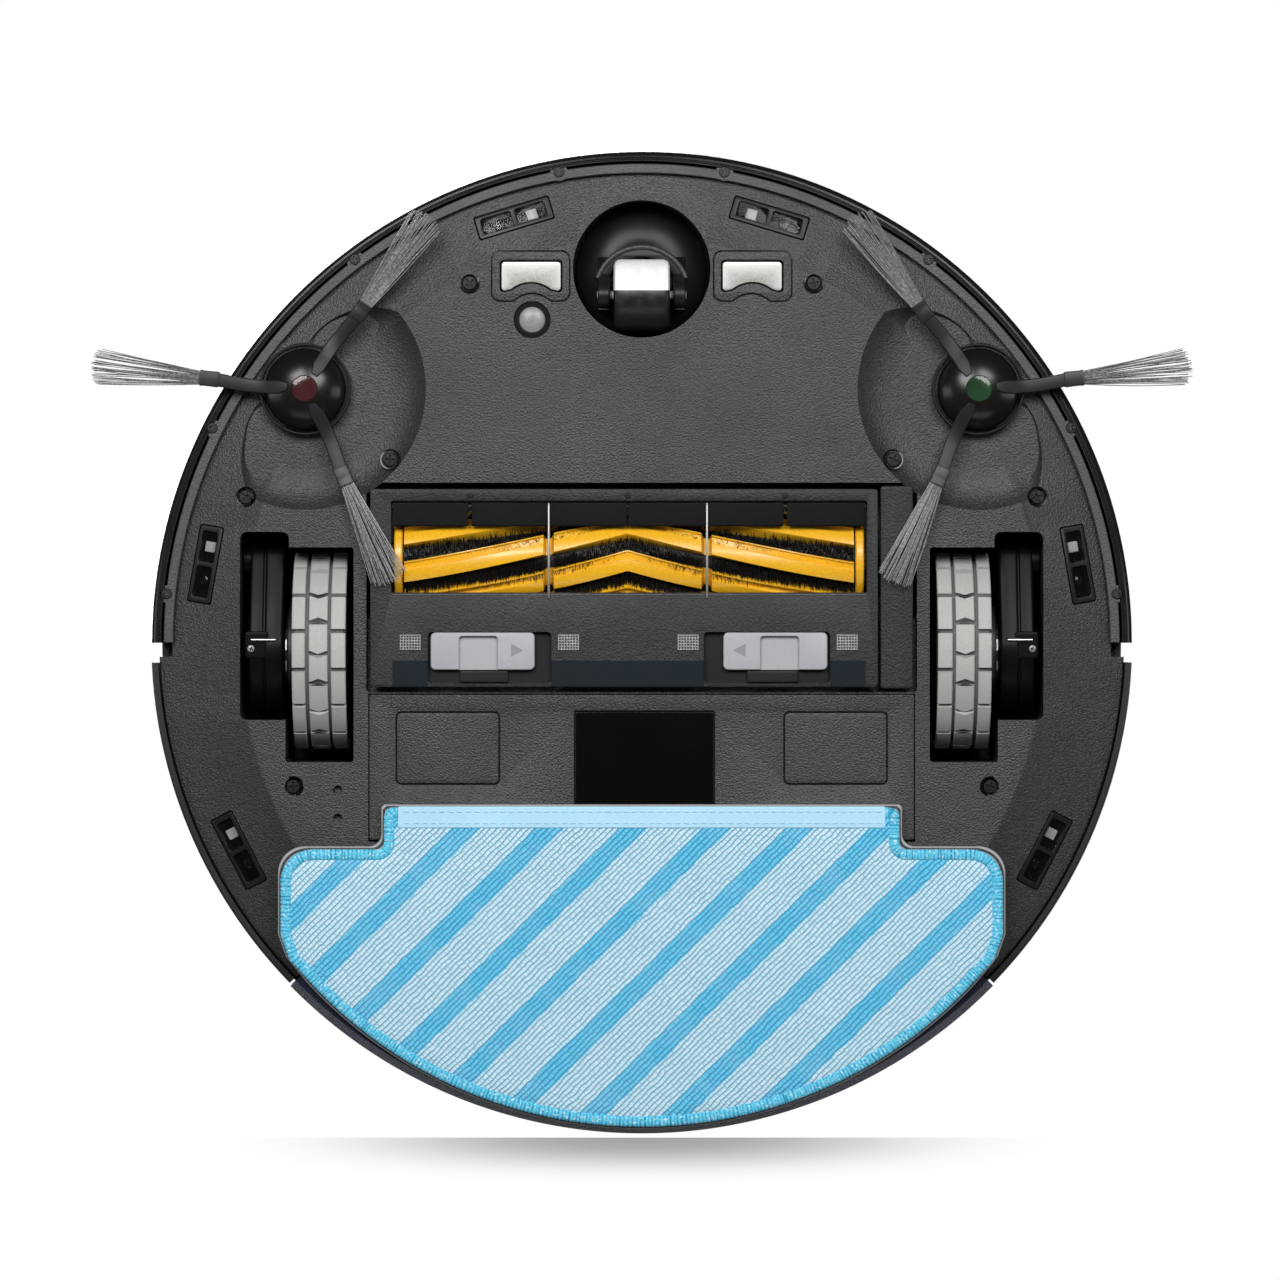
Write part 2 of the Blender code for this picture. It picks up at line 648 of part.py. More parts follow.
def make_roller():
    middle = (ROLLER_LEFT + ROLLER_RIGHT) / 2
    half = (ROLLER_LEFT - ROLLER_RIGHT) / 2
    disc, shaft, stub = 0.0165, 0.008, 0.003
    core = [
        (stub, half + 0.0045),
        (stub, half),
        (disc, half),
        (disc, half - 0.003),
        (shaft, half - 0.003),
        (shaft, -half + 0.003),
        (disc, -half + 0.003),
        (disc, -half),
        (stub, -half),
        (stub, -half - 0.0045),
        (0, -half - 0.0045),
        (0, half + 0.0045),
    ]
    turned("roller_core", core, "roller_yellow", 28, (middle, ROLLER_Y, ROLLER_Z), (0, math.pi / 2, 0))
    for name, side in SIDES:
        seat = [(0.007, 0.0016), (0.007, -0.0016), (stub + 0.0003, -0.0016), (stub + 0.0003, 0.0016)]
        x = middle + side * (half + 0.0022)
        turned(f"end_bearing_{name}", seat, "latch_grey", 20, (x, ROLLER_Y, ROLLER_Z), (0, math.pi / 2, 0))
    make_roller_brush()


def lobe_ring(x, radius_out, twist, around=24):
    """One ring of the six-lobed sleeve, at x along the roller and turned by twist."""
    ring = []
    for i in range(around):
        angle = 2 * math.pi * i / around
        crest = max(0.0, math.cos(6 * angle)) ** 2
        radius = min(ROOT_R + (LOBE_R - ROOT_R) * crest, radius_out)
        y, z = radius * math.cos(angle + twist), radius * math.sin(angle + twist)
        ring.append(Vector((x, ROLLER_Y + y, ROLLER_Z + z)))
    return ring


def make_roller_brush():
    """A lobed sleeve whose lobes run in a wide V, with a groove over each guard wire."""
    left, right, vee = ROLLER_LEFT - 0.0034, ROLLER_RIGHT + 0.0034, -0.005
    stations = [(right, 1), (-0.060, 1), (vee, 1), (0.050, 1), (left, 1)]
    for x in WIRES_X:
        stations += [(x - 0.0017, 1), (x - 0.0015, 0), (x + 0.0015, 0), (x + 0.0017, 1)]
    around = 24
    bm = bmesh.new()
    rings = []
    for x, full in sorted(stations):
        twist = math.radians(70) * abs(x - vee) / 0.084
        rings.append([bm.verts.new(p) for p in lobe_ring(x, LOBE_R if full else GROOVE_R, twist, around)])
    bores = []
    for x in (right, left):
        turn = [2 * math.pi * i / around + math.radians(70) * abs(x - vee) / 0.084 for i in range(around)]
        circle = [(0.0083 * math.cos(a), 0.0083 * math.sin(a)) for a in turn]
        bores.append([bm.verts.new((x, ROLLER_Y + y, ROLLER_Z + z)) for y, z in circle])
    for a, b in (*zip(rings, rings[1:]), (bores[1], bores[0]), (rings[-1], bores[1]), (bores[0], rings[0])):
        for i in range(around):
            j = (i + 1) % around
            bm.faces.new((a[i], a[j], b[j], b[i]))
    bmesh.ops.triangulate(bm, faces=bm.faces)
    bmesh.ops.recalc_face_normals(bm, faces=bm.faces)
    keep("roller_brush", finish_mesh(bm, "roller_brush"), "roller_yellow")


# Guard


def make_guard():
    top = 0.0086
    frame = prism(
        "guard_frame",
        [rounded((-0.0965, -0.0542), (0.0840, 0.0163), 0.0015, 2)],
        GUARD_LOW,
        top,
        "grained_black",
    )
    cut(
        frame,
        box("mouth", (-0.089, -0.0497, -0.01), (0.080, -0.0172, 0.02)),
        box("lip_relief", (-0.0888, -0.018, 0.0052), (0.0798, -0.0138, 0.02)),
    )
    flap = box("flap_strip", (-0.0885, -0.0493, GUARD_LOW), (0.0795, -0.0409, 0.0051), "satin_black")
    for x in (-0.061, -0.033, -0.005, 0.023, 0.051):
        cut(flap, box("flap_slit", (x - 0.0003, -0.0475, -0.01), (x + 0.0003, -0.03, 0.02)))
    for name, x in zip(("left", "right"), WIRES_X):
        rod(f"guard_wire_{name}", 0.0004, (x, -0.0490, 0.0034), (x, -0.0155, 0.0034), "steel", 8)
    for name, side, low, high, recess in (
        ("left", 1, 0.029, 0.066, (0.022, 0.067)),
        ("right", -1, -0.075, -0.038, (-0.076, -0.032)),
    ):
        cut(frame, box(f"latch_recess_{name}", (recess[0], -0.0036, 0.002), (recess[1], 0.0152, 0.0076)))
        latch = box(f"guard_latch_{name}", (low, -0.0032, 0.0044), (high, 0.0101, 0.0072), "latch_grey")
        middle = (low + high) / 2 + side * 0.0015
        low, high = (middle - 0.007, -0.0018, 0.001), (middle + 0.007, 0.02, 0.0062)
        cut(latch, box(f"finger_notch_{name}", low, high))


# Mop


def mop_outline(inset):
    """Half outline of the mop plate from its front tab round to its rear edge, moved in by inset."""
    rim = 0.1733 - inset
    tab, front = 0.0925 - inset, 0.0579 + inset
    side, shoulder = 0.1292 - inset, 0.0728 + inset
    points = [(tab, front), (tab, shoulder - 0.0045), (tab + 0.0035, shoulder)]
    points += arc((side - 0.0095, shoulder + 0.0095), 0.0095, -90, 0, 4)
    points += [(side, 0.104), (side - 0.0028, 0.112)]
    first = 44.5
    for i in range(13):
        angle = first * (1 - i / 12)
        radius = rim - 0.0035 * (angle / first) ** 2
        points.append((radius * math.sin(math.radians(angle)), radius * math.cos(math.radians(angle))))
    return mirrored(points)


def make_mop():
    mouth = MOUTH - Vector((0.0008, -0.0003))
    angle = math.degrees(math.atan2(mouth.y, mouth.x))
    front = [(0.1187, BAY_FRONT + 0.0006), (0.1187, 0.1166)]
    tank_outline = mirrored([*front, *arc((0, 0), SKIRT_R, angle, 90, 20)])
    tank = prism("tank_body", [tank_outline], TANK_LOW, TANK_TOP, "smoky_tank")
    inner_arc = arc((0, 0), SKIRT_R - 0.0025, angle + 0.8, 90, 20)
    inner = mirrored([(0.1162, BAY_FRONT + 0.003), (0.1162, 0.1176), *inner_arc])
    cut(
        tank,
        prism("tank_inside", [inner], TANK_LOW + 0.0025, TANK_TOP - 0.0025),
        rod("filler_hole", 0.009, (0.070, 0.100, 0.03), (0.070, 0.100, 0.06), sides=20),
    )
    prism("mop_plate", [mop_outline(0)], 0.0036, 0.0064, "plate_grey")
    prism("mop_cloth", [mop_outline(0.0013)], 0.0, 0.0033, "mop_blue")


clear_scene()
PARTS = collection("robot_vacuum")
TOOLS = collection("cutters")
make_base_shell()
make_housings()
make_belly_pieces()
make_top_shell()
make_top_pieces()
make_bumper()
make_inner_pieces()
make_caster()
for side_name, side_sign in SIDES:
    make_drive_wheel(side_name, side_sign)
    make_side_brush(side_name, side_sign)
make_roller()
make_guard()
make_mop()
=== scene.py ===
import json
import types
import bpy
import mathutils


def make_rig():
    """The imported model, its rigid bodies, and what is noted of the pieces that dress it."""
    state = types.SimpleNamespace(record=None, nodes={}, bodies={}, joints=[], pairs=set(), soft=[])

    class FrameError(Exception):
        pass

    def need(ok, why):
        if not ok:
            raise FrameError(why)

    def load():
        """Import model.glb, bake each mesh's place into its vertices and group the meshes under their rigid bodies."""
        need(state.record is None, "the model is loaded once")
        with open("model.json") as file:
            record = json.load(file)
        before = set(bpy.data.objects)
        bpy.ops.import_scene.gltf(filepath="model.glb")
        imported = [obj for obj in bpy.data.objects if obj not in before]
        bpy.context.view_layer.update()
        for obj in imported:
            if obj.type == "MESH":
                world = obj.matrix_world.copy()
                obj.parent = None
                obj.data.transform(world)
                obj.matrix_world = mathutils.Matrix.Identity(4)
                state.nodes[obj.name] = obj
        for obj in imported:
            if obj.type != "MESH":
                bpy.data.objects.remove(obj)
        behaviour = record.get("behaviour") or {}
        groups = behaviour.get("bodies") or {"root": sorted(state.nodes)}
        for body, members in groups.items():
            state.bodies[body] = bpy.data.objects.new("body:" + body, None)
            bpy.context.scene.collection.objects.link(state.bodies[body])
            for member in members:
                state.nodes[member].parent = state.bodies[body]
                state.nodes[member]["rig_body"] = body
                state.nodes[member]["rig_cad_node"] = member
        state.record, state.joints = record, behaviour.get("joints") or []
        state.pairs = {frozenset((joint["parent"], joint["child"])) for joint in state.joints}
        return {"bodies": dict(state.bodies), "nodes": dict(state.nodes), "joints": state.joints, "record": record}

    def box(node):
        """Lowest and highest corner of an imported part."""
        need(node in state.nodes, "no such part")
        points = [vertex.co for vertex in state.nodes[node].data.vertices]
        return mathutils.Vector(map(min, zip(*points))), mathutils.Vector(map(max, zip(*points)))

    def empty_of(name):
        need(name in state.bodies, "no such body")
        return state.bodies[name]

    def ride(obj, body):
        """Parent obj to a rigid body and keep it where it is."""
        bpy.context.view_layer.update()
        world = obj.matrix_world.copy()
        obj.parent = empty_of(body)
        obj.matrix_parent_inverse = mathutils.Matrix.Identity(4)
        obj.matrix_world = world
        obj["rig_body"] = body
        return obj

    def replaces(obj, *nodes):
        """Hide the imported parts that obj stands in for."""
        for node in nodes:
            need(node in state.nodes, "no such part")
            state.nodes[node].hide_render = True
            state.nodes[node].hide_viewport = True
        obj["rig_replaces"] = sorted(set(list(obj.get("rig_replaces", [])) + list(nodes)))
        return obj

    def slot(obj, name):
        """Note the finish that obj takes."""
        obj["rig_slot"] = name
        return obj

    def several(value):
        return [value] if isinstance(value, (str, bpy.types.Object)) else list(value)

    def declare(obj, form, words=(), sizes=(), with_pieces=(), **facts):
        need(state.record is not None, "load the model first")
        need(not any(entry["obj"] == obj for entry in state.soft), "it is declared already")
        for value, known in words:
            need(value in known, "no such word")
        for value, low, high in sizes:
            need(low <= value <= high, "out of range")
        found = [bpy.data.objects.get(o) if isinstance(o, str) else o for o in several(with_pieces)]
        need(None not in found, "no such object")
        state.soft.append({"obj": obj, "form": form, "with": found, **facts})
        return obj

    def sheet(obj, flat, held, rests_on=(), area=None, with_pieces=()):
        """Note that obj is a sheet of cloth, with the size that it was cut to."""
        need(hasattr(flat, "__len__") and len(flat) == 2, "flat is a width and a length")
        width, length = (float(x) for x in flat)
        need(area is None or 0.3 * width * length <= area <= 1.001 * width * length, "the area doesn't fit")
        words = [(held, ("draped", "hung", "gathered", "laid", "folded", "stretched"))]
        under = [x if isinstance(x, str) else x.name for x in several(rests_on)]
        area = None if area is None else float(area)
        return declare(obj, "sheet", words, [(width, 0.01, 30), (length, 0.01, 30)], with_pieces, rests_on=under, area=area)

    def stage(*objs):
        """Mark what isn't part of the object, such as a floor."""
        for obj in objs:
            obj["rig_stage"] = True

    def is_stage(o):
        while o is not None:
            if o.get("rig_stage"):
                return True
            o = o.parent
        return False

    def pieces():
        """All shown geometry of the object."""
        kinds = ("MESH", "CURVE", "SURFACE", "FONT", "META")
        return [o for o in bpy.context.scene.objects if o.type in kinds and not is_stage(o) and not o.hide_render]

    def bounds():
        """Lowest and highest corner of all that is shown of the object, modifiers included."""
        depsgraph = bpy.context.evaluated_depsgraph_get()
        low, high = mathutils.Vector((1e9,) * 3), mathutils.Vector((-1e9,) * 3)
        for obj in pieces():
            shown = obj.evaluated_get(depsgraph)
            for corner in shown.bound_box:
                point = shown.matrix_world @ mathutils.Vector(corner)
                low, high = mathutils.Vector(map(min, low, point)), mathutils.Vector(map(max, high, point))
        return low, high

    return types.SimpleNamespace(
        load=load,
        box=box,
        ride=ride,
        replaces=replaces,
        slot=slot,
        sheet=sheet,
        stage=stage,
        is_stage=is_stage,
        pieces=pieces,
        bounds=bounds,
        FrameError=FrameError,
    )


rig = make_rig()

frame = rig.load()
CAD_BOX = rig.bounds()

import json
import math
import random

import bmesh
import bpy
from mathutils import Matrix, Vector
from mathutils.geometry import delaunay_2d_cdt

# The robot lies as the CAD has it: +Z up, its front -Y, its left +X, the floor at z = 0. Metres.

SIDES = (("left", 1), ("right", -1))
MM = 0.001

# Stands a flat outline up, so that its own X and Y run along the robot's Y and Z
UPRIGHT = Matrix(((0, 0, 1, 0), (1, 0, 0, 0), (0, 1, 0, 0), (0, 0, 0, 1)))


# Places and sizes read from the CAD frame


def span(node):
    """A CAD node's middle and its size along each axis."""
    low, high = (Vector(corner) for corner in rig.box(node))
    return (low + high) / 2, high - low


BODY_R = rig.box("bumper_shell")[1][0]
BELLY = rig.box("rear_panel")[0][2]
DECK_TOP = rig.box("top_shell")[1][2]
TURRET_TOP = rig.box("lidar_cap")[1][2]
TURRET = span("lidar_cap")[0]
BUTTON = span("start_button")[0]
CASTER = span("caster_fork")[0]
CASTER_WHEEL, CASTER_WHEEL_SIZE = span("caster_wheel")
HUBS = {name: span(f"side_brush_motor_{name}")[0] for name, _ in SIDES}
TYRES = {name: span(f"tyre_{name}") for name, _ in SIDES}
ROLLER = span("roller_core")[0]
ROLLER_ENDS = (span("end_bearing_right")[0].x + 0.0022, span("end_bearing_left")[0].x - 0.0022)
ROLLER_R = span("roller_brush")[1].y / 2
GUARD_LOW, GUARD_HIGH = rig.box("guard_frame")
WIRES_X = (span("guard_wire_left")[0].x, span("guard_wire_right")[0].x)
TANK_LOW, TANK_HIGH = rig.box("tank_body")

# The forms of the belly, the deck's underside and the bay, as the CAD's shells have them
CREASE_R = 0.1435
BELLY_SLOPE = 0.26
PLATE = 0.003
TRAY_R = 0.167
FRONT_R = 0.1674
FLANGE_R = 0.1722
WALL_TOP = 0.0738
WELL_TOP = 0.0724
SKIRT_R, DECK_LOW = 0.175, 0.0746
SOCKET_R = 0.0245
BAY_X, BAY_FRONT, BAY_TOP = 0.1195, 0.0734, 0.0466
MOUTH = Vector((0.125, 0.1213))


# Camera, lights and floor


def make_camera():
    """Below the robot, looking straight up at it, with the front at the top of the picture."""
    field, lens, sensor = 0.4555, 200.0, 36.0
    data = bpy.data.cameras.new("camera")
    data.lens = lens
    data.sensor_width = sensor
    camera = bpy.data.objects.new("camera", data)
    bpy.context.scene.collection.objects.link(camera)
    camera.location = (-0.0006, -0.0005, BELLY - field * lens / sensor)
    camera.rotation_euler = (math.pi, 0, 0)
    bpy.context.scene.camera = camera


def make_area(name, place, target, size, power):
    data = bpy.data.lights.new(name, "AREA")
    data.shape = "RECTANGLE"
    data.size, data.size_y = size
    data.energy = power
    light = bpy.data.objects.new(name, data)
    bpy.context.scene.collection.objects.link(light)
    light.location = place
    light.rotation_euler = (Vector(target) - Vector(place)).to_track_quat("-Z", "Y").to_euler()


AMBIENT = 0.03


def make_world():
    """White to the eye, and dim as a light, so that the softboxes shape the object."""
    world = bpy.data.worlds.new("studio")
    world.use_nodes = True
    tree = world.node_tree
    seen = tree.nodes["Background"]
    seen.inputs["Color"].default_value = (1, 1, 1, 1)
    seen.inputs["Strength"].default_value = 1.0
    lit = added(tree, "Background")
    lit.inputs["Color"].default_value = (0.95, 0.98, 1, 1)
    lit.inputs["Strength"].default_value = AMBIENT
    path = added(tree, "LightPath")
    mix = added(tree, "MixShader")
    tree.links.new(path.outputs["Is Camera Ray"], mix.inputs[0])
    tree.links.new(lit.outputs[0], mix.inputs[1])
    tree.links.new(seen.outputs[0], mix.inputs[2])
    tree.links.new(mix.outputs[0], tree.nodes["World Output"].inputs[0])
    bpy.context.scene.world = world
    bpy.context.scene.view_settings.view_transform = "Standard"


def make_floor():
    """A pale floor seen from above only, so that the underside is lit and seen from below."""
    bm = bmesh.new()
    bmesh.ops.create_grid(bm, x_segments=1, y_segments=1, size=3)
    obj = new_object("floor", bm)
    tree, shader = new_material("floor_pale")
    shader.inputs["Base Color"].default_value = (0.8, 0.8, 0.8, 1)
    shader.inputs["Roughness"].default_value = 0.8
    facing = added(tree, "NewGeometry")
    clear = added(tree, "BsdfTransparent")
    mix = added(tree, "MixShader")
    out = tree.nodes["Material Output"]
    tree.links.new(facing.outputs["Backfacing"], mix.inputs[0])
    tree.links.new(shader.outputs[0], mix.inputs[1])
    tree.links.new(clear.outputs[0], mix.inputs[2])
    tree.links.new(mix.outputs[0], out.inputs[0])
    set_stage(obj, "floor_pale")


def set_stage(obj, material):
    """Makes a piece part of the studio: the camera sees it, and no light is stopped or sent back by it."""
    obj.data.materials.append(bpy.data.materials[f"look_{material}"])
    obj.visible_shadow = False
    obj.visible_diffuse = False
    obj.visible_glossy = False
    obj.visible_transmission = False
    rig.stage(obj)


def make_sun(name, place, watts):
    """Even, soft light from above, as bright far out on the floor as beside the robot."""
    light = bpy.data.lights.new(name, "SUN")
    light.energy = watts
    light.angle = 0.7
    obj = bpy.data.objects.new(name, light)
    obj.location = place
    obj.rotation_euler = (-Vector(place)).to_track_quat("-Z", "Y").to_euler()
    bpy.context.scene.collection.objects.link(obj)


def make_shadow():
    """A painted shadow: a black card that fades out from its middle, for the soft shade under the rear edge, on which
    the robot stands in this view.
    """
    bm = bmesh.new()
    half, behind, far, near = 0.17, 0.1759, -0.26, -0.0005
    corners = [(-half, far), (half, far), (half, near), (-half, near)]
    bm.faces.new([bm.verts.new((x, behind, z)) for x, z in corners])
    obj = new_object("shade", bm)
    tree, shader = new_material("shade_soft")
    coord = added(tree, "TexCoord")
    scaled = added(tree, "Mapping")
    scaled.inputs["Scale"].default_value = (1 / 0.16, 0, 1 / 0.24)
    tree.links.new(coord.outputs["Object"], scaled.inputs["Vector"])
    away = added(tree, "VectorMath", operation="LENGTH")
    tree.links.new(scaled.outputs["Vector"], away.inputs[0])
    fade = added(tree, "MapRange", interpolation_type="SMOOTHERSTEP")
    fade.inputs["To Min"].default_value = 0.62
    fade.inputs["To Max"].default_value = 0.0
    tree.links.new(away.outputs["Value"], fade.inputs["Value"])
    tree.links.new(fade.outputs[0], shader.inputs["Alpha"])
    # Painted shadow: black, its alpha falling off away from the card's middle.
    shader.inputs["Base Color"].default_value = (0, 0, 0, 1)
    shader.inputs["Roughness"].default_value = 1.0
    shader.inputs["Specular IOR Level"].default_value = 0.0
    set_stage(obj, "shade_soft")


# Meshes


def new_object(name, bm, sharp=30):
    mesh = bpy.data.meshes.new(name)
    bm.to_mesh(mesh)
    bm.free()
    mesh.shade_smooth()
    mesh.set_sharp_from_angle(angle=math.radians(sharp))
    obj = bpy.data.objects.new(name, mesh)
    bpy.context.scene.collection.objects.link(obj)
    return obj


def baked(obj, sharp=30):
    """The same object with its modifiers applied and its place put into its mesh."""
    bpy.context.view_layer.update()
    graph = bpy.context.evaluated_depsgraph_get()
    mesh = bpy.data.meshes.new_from_object(obj.evaluated_get(graph))
    mesh.transform(obj.matrix_world)
    name = obj.name
    bpy.data.objects.remove(obj, do_unlink=True)
    bm = bmesh.new()
    bm.from_mesh(mesh)
    bpy.data.meshes.remove(mesh)
    bmesh.ops.remove_doubles(bm, verts=bm.verts, dist=0.000002)
    return new_object(name, bm, sharp)


def box(name, low, high, place=None):
    low, high = Vector(low), Vector(high)
    bm = bmesh.new()
    fit = Matrix.Translation((low + high) / 2) @ Matrix.Diagonal((*(high - low), 1))
    bmesh.ops.create_cube(bm, size=1, matrix=(place or Matrix()) @ fit)
    return new_object(name, bm)


def rod(name, radius, start, end, sides=48, tip=None):
    """A cylinder or, with a tip radius, a cone from one point to another."""
    start, end = Vector(start), Vector(end)
    bm = bmesh.new()
    turn = Vector((0, 0, 1)).rotation_difference(end - start).to_matrix().to_4x4()
    place = Matrix.Translation((start + end) / 2) @ turn
    tip = radius if tip is None else tip
    depth = (end - start).length
    bmesh.ops.create_cone(
        bm, cap_ends=True, segments=sides, radius1=radius, radius2=tip, depth=depth, matrix=place
    )
    return new_object(name, bm)


def turned(name, profile, steps=64, centre=(0, 0, 0), tilt=(0, 0, 0), sharp=30):
    """A body of revolution from a closed outline of (radius, height), outer side top to bottom."""
    bm = bmesh.new()
    points = [bm.verts.new((radius, 0, height)) for radius, height in profile]
    for a, b in zip(points, points[1:] + points[:1]):
        if a.co.x > 0 or b.co.x > 0:
            bm.edges.new((a, b))
    obj = new_object(name, bm)
    spin = obj.modifiers.new("turn", "SCREW")
    spin.steps = spin.render_steps = steps
    spin.use_merge_vertices = True
    spin.merge_threshold = 0.00001
    obj.location = centre
    obj.rotation_euler = tilt
    return baked(obj, sharp)


def plate(name, outlines, low, high, edge=0.0, place=None, sharp=40):
    """A flat outline, with any holes in it, made solid between two heights, its edges rounded."""
    curve = bpy.data.curves.new(name, "CURVE")
    curve.dimensions = "2D"
    curve.fill_mode = "BOTH"
    curve.extrude = (high - low) / 2 - edge
    curve.bevel_depth = edge
    curve.bevel_resolution = 2
    curve.offset = -edge
    for points in outlines:
        spline = curve.splines.new("POLY")
        spline.points.add(len(points) - 1)
        for point, (x, y) in zip(spline.points, points):
            point.co = (x, y, 0, 1)
        spline.use_cyclic_u = True
    obj = bpy.data.objects.new(name, curve)
    bpy.context.scene.collection.objects.link(obj)
    obj.matrix_world = (place or Matrix()) @ Matrix.Translation((0, 0, (low + high) / 2))
    return outward(baked(obj, sharp))


def outward(obj):
    bm = bmesh.new()
    bm.from_mesh(obj.data)
    bmesh.ops.recalc_face_normals(bm, faces=bm.faces)
    bm.to_mesh(obj.data)
    bm.free()
    return obj


def tube(name, points, radius, sides=2, cyclic=False):
    """A round wire along points."""
    curve = bpy.data.curves.new(name, "CURVE")
    curve.dimensions = "3D"
    curve.bevel_depth = radius
    curve.bevel_resolution = sides
    curve.use_fill_caps = True
    spline = curve.splines.new("POLY")
    spline.points.add(len(points) - 1)
    for point, at in zip(spline.points, points):
        point.co = (*at, 1)
    spline.use_cyclic_u = cyclic
    obj = bpy.data.objects.new(name, curve)
    bpy.context.scene.collection.objects.link(obj)
    return baked(obj, 60)


def skin(bm, rings, around=True):
    """Faces from each ring of points to the next, all the way round or left open at the end."""
    for a, b in zip(rings, rings[1:]):
        for i in range(len(a) if around else len(a) - 1):
            j = (i + 1) % len(a)
            bm.faces.new((a[i], a[j], b[j], b[i]))


def joined(name, objects, sharp=30):
    """Several meshes made one object."""
    bm = bmesh.new()
    for obj in objects:
        bm.from_mesh(obj.data)
        bpy.data.objects.remove(obj, do_unlink=True)
    return new_object(name, bm, sharp)


def carved(obj, joins=(), cuts=(), sharp=30):
    """obj with tools joined to it and others cut from it."""
    name = obj.name
    for operation, tools in (("UNION", joins), ("DIFFERENCE", cuts)):
        if not tools:
            continue
        group = bpy.data.collections.new("tools")
        bpy.context.scene.collection.children.link(group)
        for tool in tools:
            group.objects.link(tool)
        boolean = obj.modifiers.new(operation, "BOOLEAN")
        boolean.operation = operation
        boolean.operand_type = "COLLECTION"
        boolean.collection = group
        boolean.solver = "EXACT"
        obj = baked(obj, sharp)
        for tool in tools:
            bpy.data.objects.remove(tool, do_unlink=True)
        bpy.data.collections.remove(group)
    bm = bmesh.new()
    bm.from_mesh(obj.data)
    bmesh.ops.remove_doubles(bm, verts=bm.verts, dist=0.00001)
    bmesh.ops.dissolve_limit(bm, angle_limit=math.radians(0.6), verts=bm.verts, edges=bm.edges)
    bm.to_mesh(obj.data)
    bm.free()
    obj.name = name
    obj.data.shade_smooth()
    obj.data.set_sharp_from_angle(angle=math.radians(sharp))
    return obj


def arc(centre, radius, start, end, count):
    angles = [math.radians(start + (end - start) * i / count) for i in range(count + 1)]
    return [(centre[0] + radius * math.cos(a), centre[1] + radius * math.sin(a)) for a in angles]


def rounded(low, high, radius, count=6):
    points = []
    for x, y, start in (
        (high[0] - radius, low[1] + radius, -90),
        (high[0] - radius, high[1] - radius, 0),
        (low[0] + radius, high[1] - radius, 90),
        (low[0] + radius, low[1] + radius, 180),
    ):
        points += arc((x, y), radius, start, start + 90, count)
    return points


def mirrored(points):
    return points + [(-x, y) for x, y in reversed(points) if x > 0.0001]


def on_side(points, side):
    return [(side * x, y) for x, y in points]


def pair(side, near, far):
    return sorted((side * near, side * far))


def belly_height(x, y):
    return BELLY + BELLY_SLOPE * max(0.0, math.hypot(x, y) - CREASE_R)


def rim_place(x, y):
    """A place on the belly's sloping rim: its Z goes up into the body, its Y away from the middle."""
    away = Vector((x, y, 0)).normalized()
    out = Vector((away.x, away.y, BELLY_SLOPE)).normalized()
    along = Vector((away.y, -away.x, 0))
    up = along.cross(out)
    turn = Matrix((along, out, up)).transposed().to_4x4()
    return Matrix.Translation((x, y, belly_height(x, y))) @ turn


# Materials


def added(tree, kind, **settings):
    """A new shader node with its settings."""
    node = tree.nodes.new(f"ShaderNode{kind}")
    for setting, value in settings.items():
        setattr(node, setting, value)
    return node


def new_material(name):
    made = bpy.data.materials.new(f"look_{name}")
    made.use_nodes = True
    return made.node_tree, made.node_tree.nodes["Principled BSDF"]


def noise(tree, size, detail=2.0):
    """Noise whose features are about size metres across, over the piece itself."""
    node = added(tree, "TexNoise")
    node.inputs["Scale"].default_value = 1 / size
    node.inputs["Detail"].default_value = detail
    tree.links.new(added(tree, "TexCoord").outputs["Object"], node.inputs["Vector"])
    return node.outputs["Fac"]


def ranged(tree, value, low, high, start=0.3, end=0.7):
    node = added(tree, "MapRange")
    node.inputs["From Min"].default_value = start
    node.inputs["From Max"].default_value = end
    node.inputs["To Min"].default_value = low
    node.inputs["To Max"].default_value = high
    tree.links.new(value, node.inputs["Value"])
    return node.outputs["Result"]


def blended(tree, factor, first, second):
    """A colour between two, each a colour or a socket."""
    node = added(tree, "Mix", data_type="RGBA")
    tree.links.new(factor, node.inputs[0])
    for socket, value in ((node.inputs[6], first), (node.inputs[7], second)):
        if isinstance(value, tuple):
            socket.default_value = (*value, 1)
        else:
            tree.links.new(value, socket)
    return node.outputs[2]


def bumped(tree, shader, layers):
    """Bumps the surface with (height, distance in metres, strength) layers, one on another."""
    normal = None
    for height, distance, strength in layers:
        node = added(tree, "Bump")
        node.inputs["Distance"].default_value = distance
        node.inputs["Strength"].default_value = strength
        tree.links.new(height, node.inputs["Height"])
        if normal:
            tree.links.new(normal, node.inputs["Normal"])
        normal = node.outputs["Normal"]
    tree.links.new(normal, shader.inputs["Normal"])


def plastic(name, dark, light, rough, grain=0.4, height=0.03, strength=0.5, specular=0.5, coat=0.0):
    """Moulded plastic: a fine grain, cloudy colour and slightly uneven gloss."""
    tree, shader = new_material(name)
    cloud = noise(tree, 0.03, 4)
    fine = noise(tree, grain * MM, 2)
    colour = blended(tree, ranged(tree, fine, 0, 1, 0.35, 0.7), dark, light)
    shade = tuple(0.8 * c for c in dark)
    colour = blended(tree, ranged(tree, cloud, 0.0, 0.35), colour, shade)
    tree.links.new(colour, shader.inputs["Base Color"])
    tree.links.new(ranged(tree, cloud, rough[0], rough[1]), shader.inputs["Roughness"])
    shader.inputs["Specular IOR Level"].default_value = specular
    shader.inputs["Coat Weight"].default_value = coat
    shader.inputs["Coat Roughness"].default_value = 0.08
    waves = noise(tree, 4 * MM, 2)
    bumped(tree, shader, [(fine, height * MM, strength), (waves, height * MM, 0.15)])


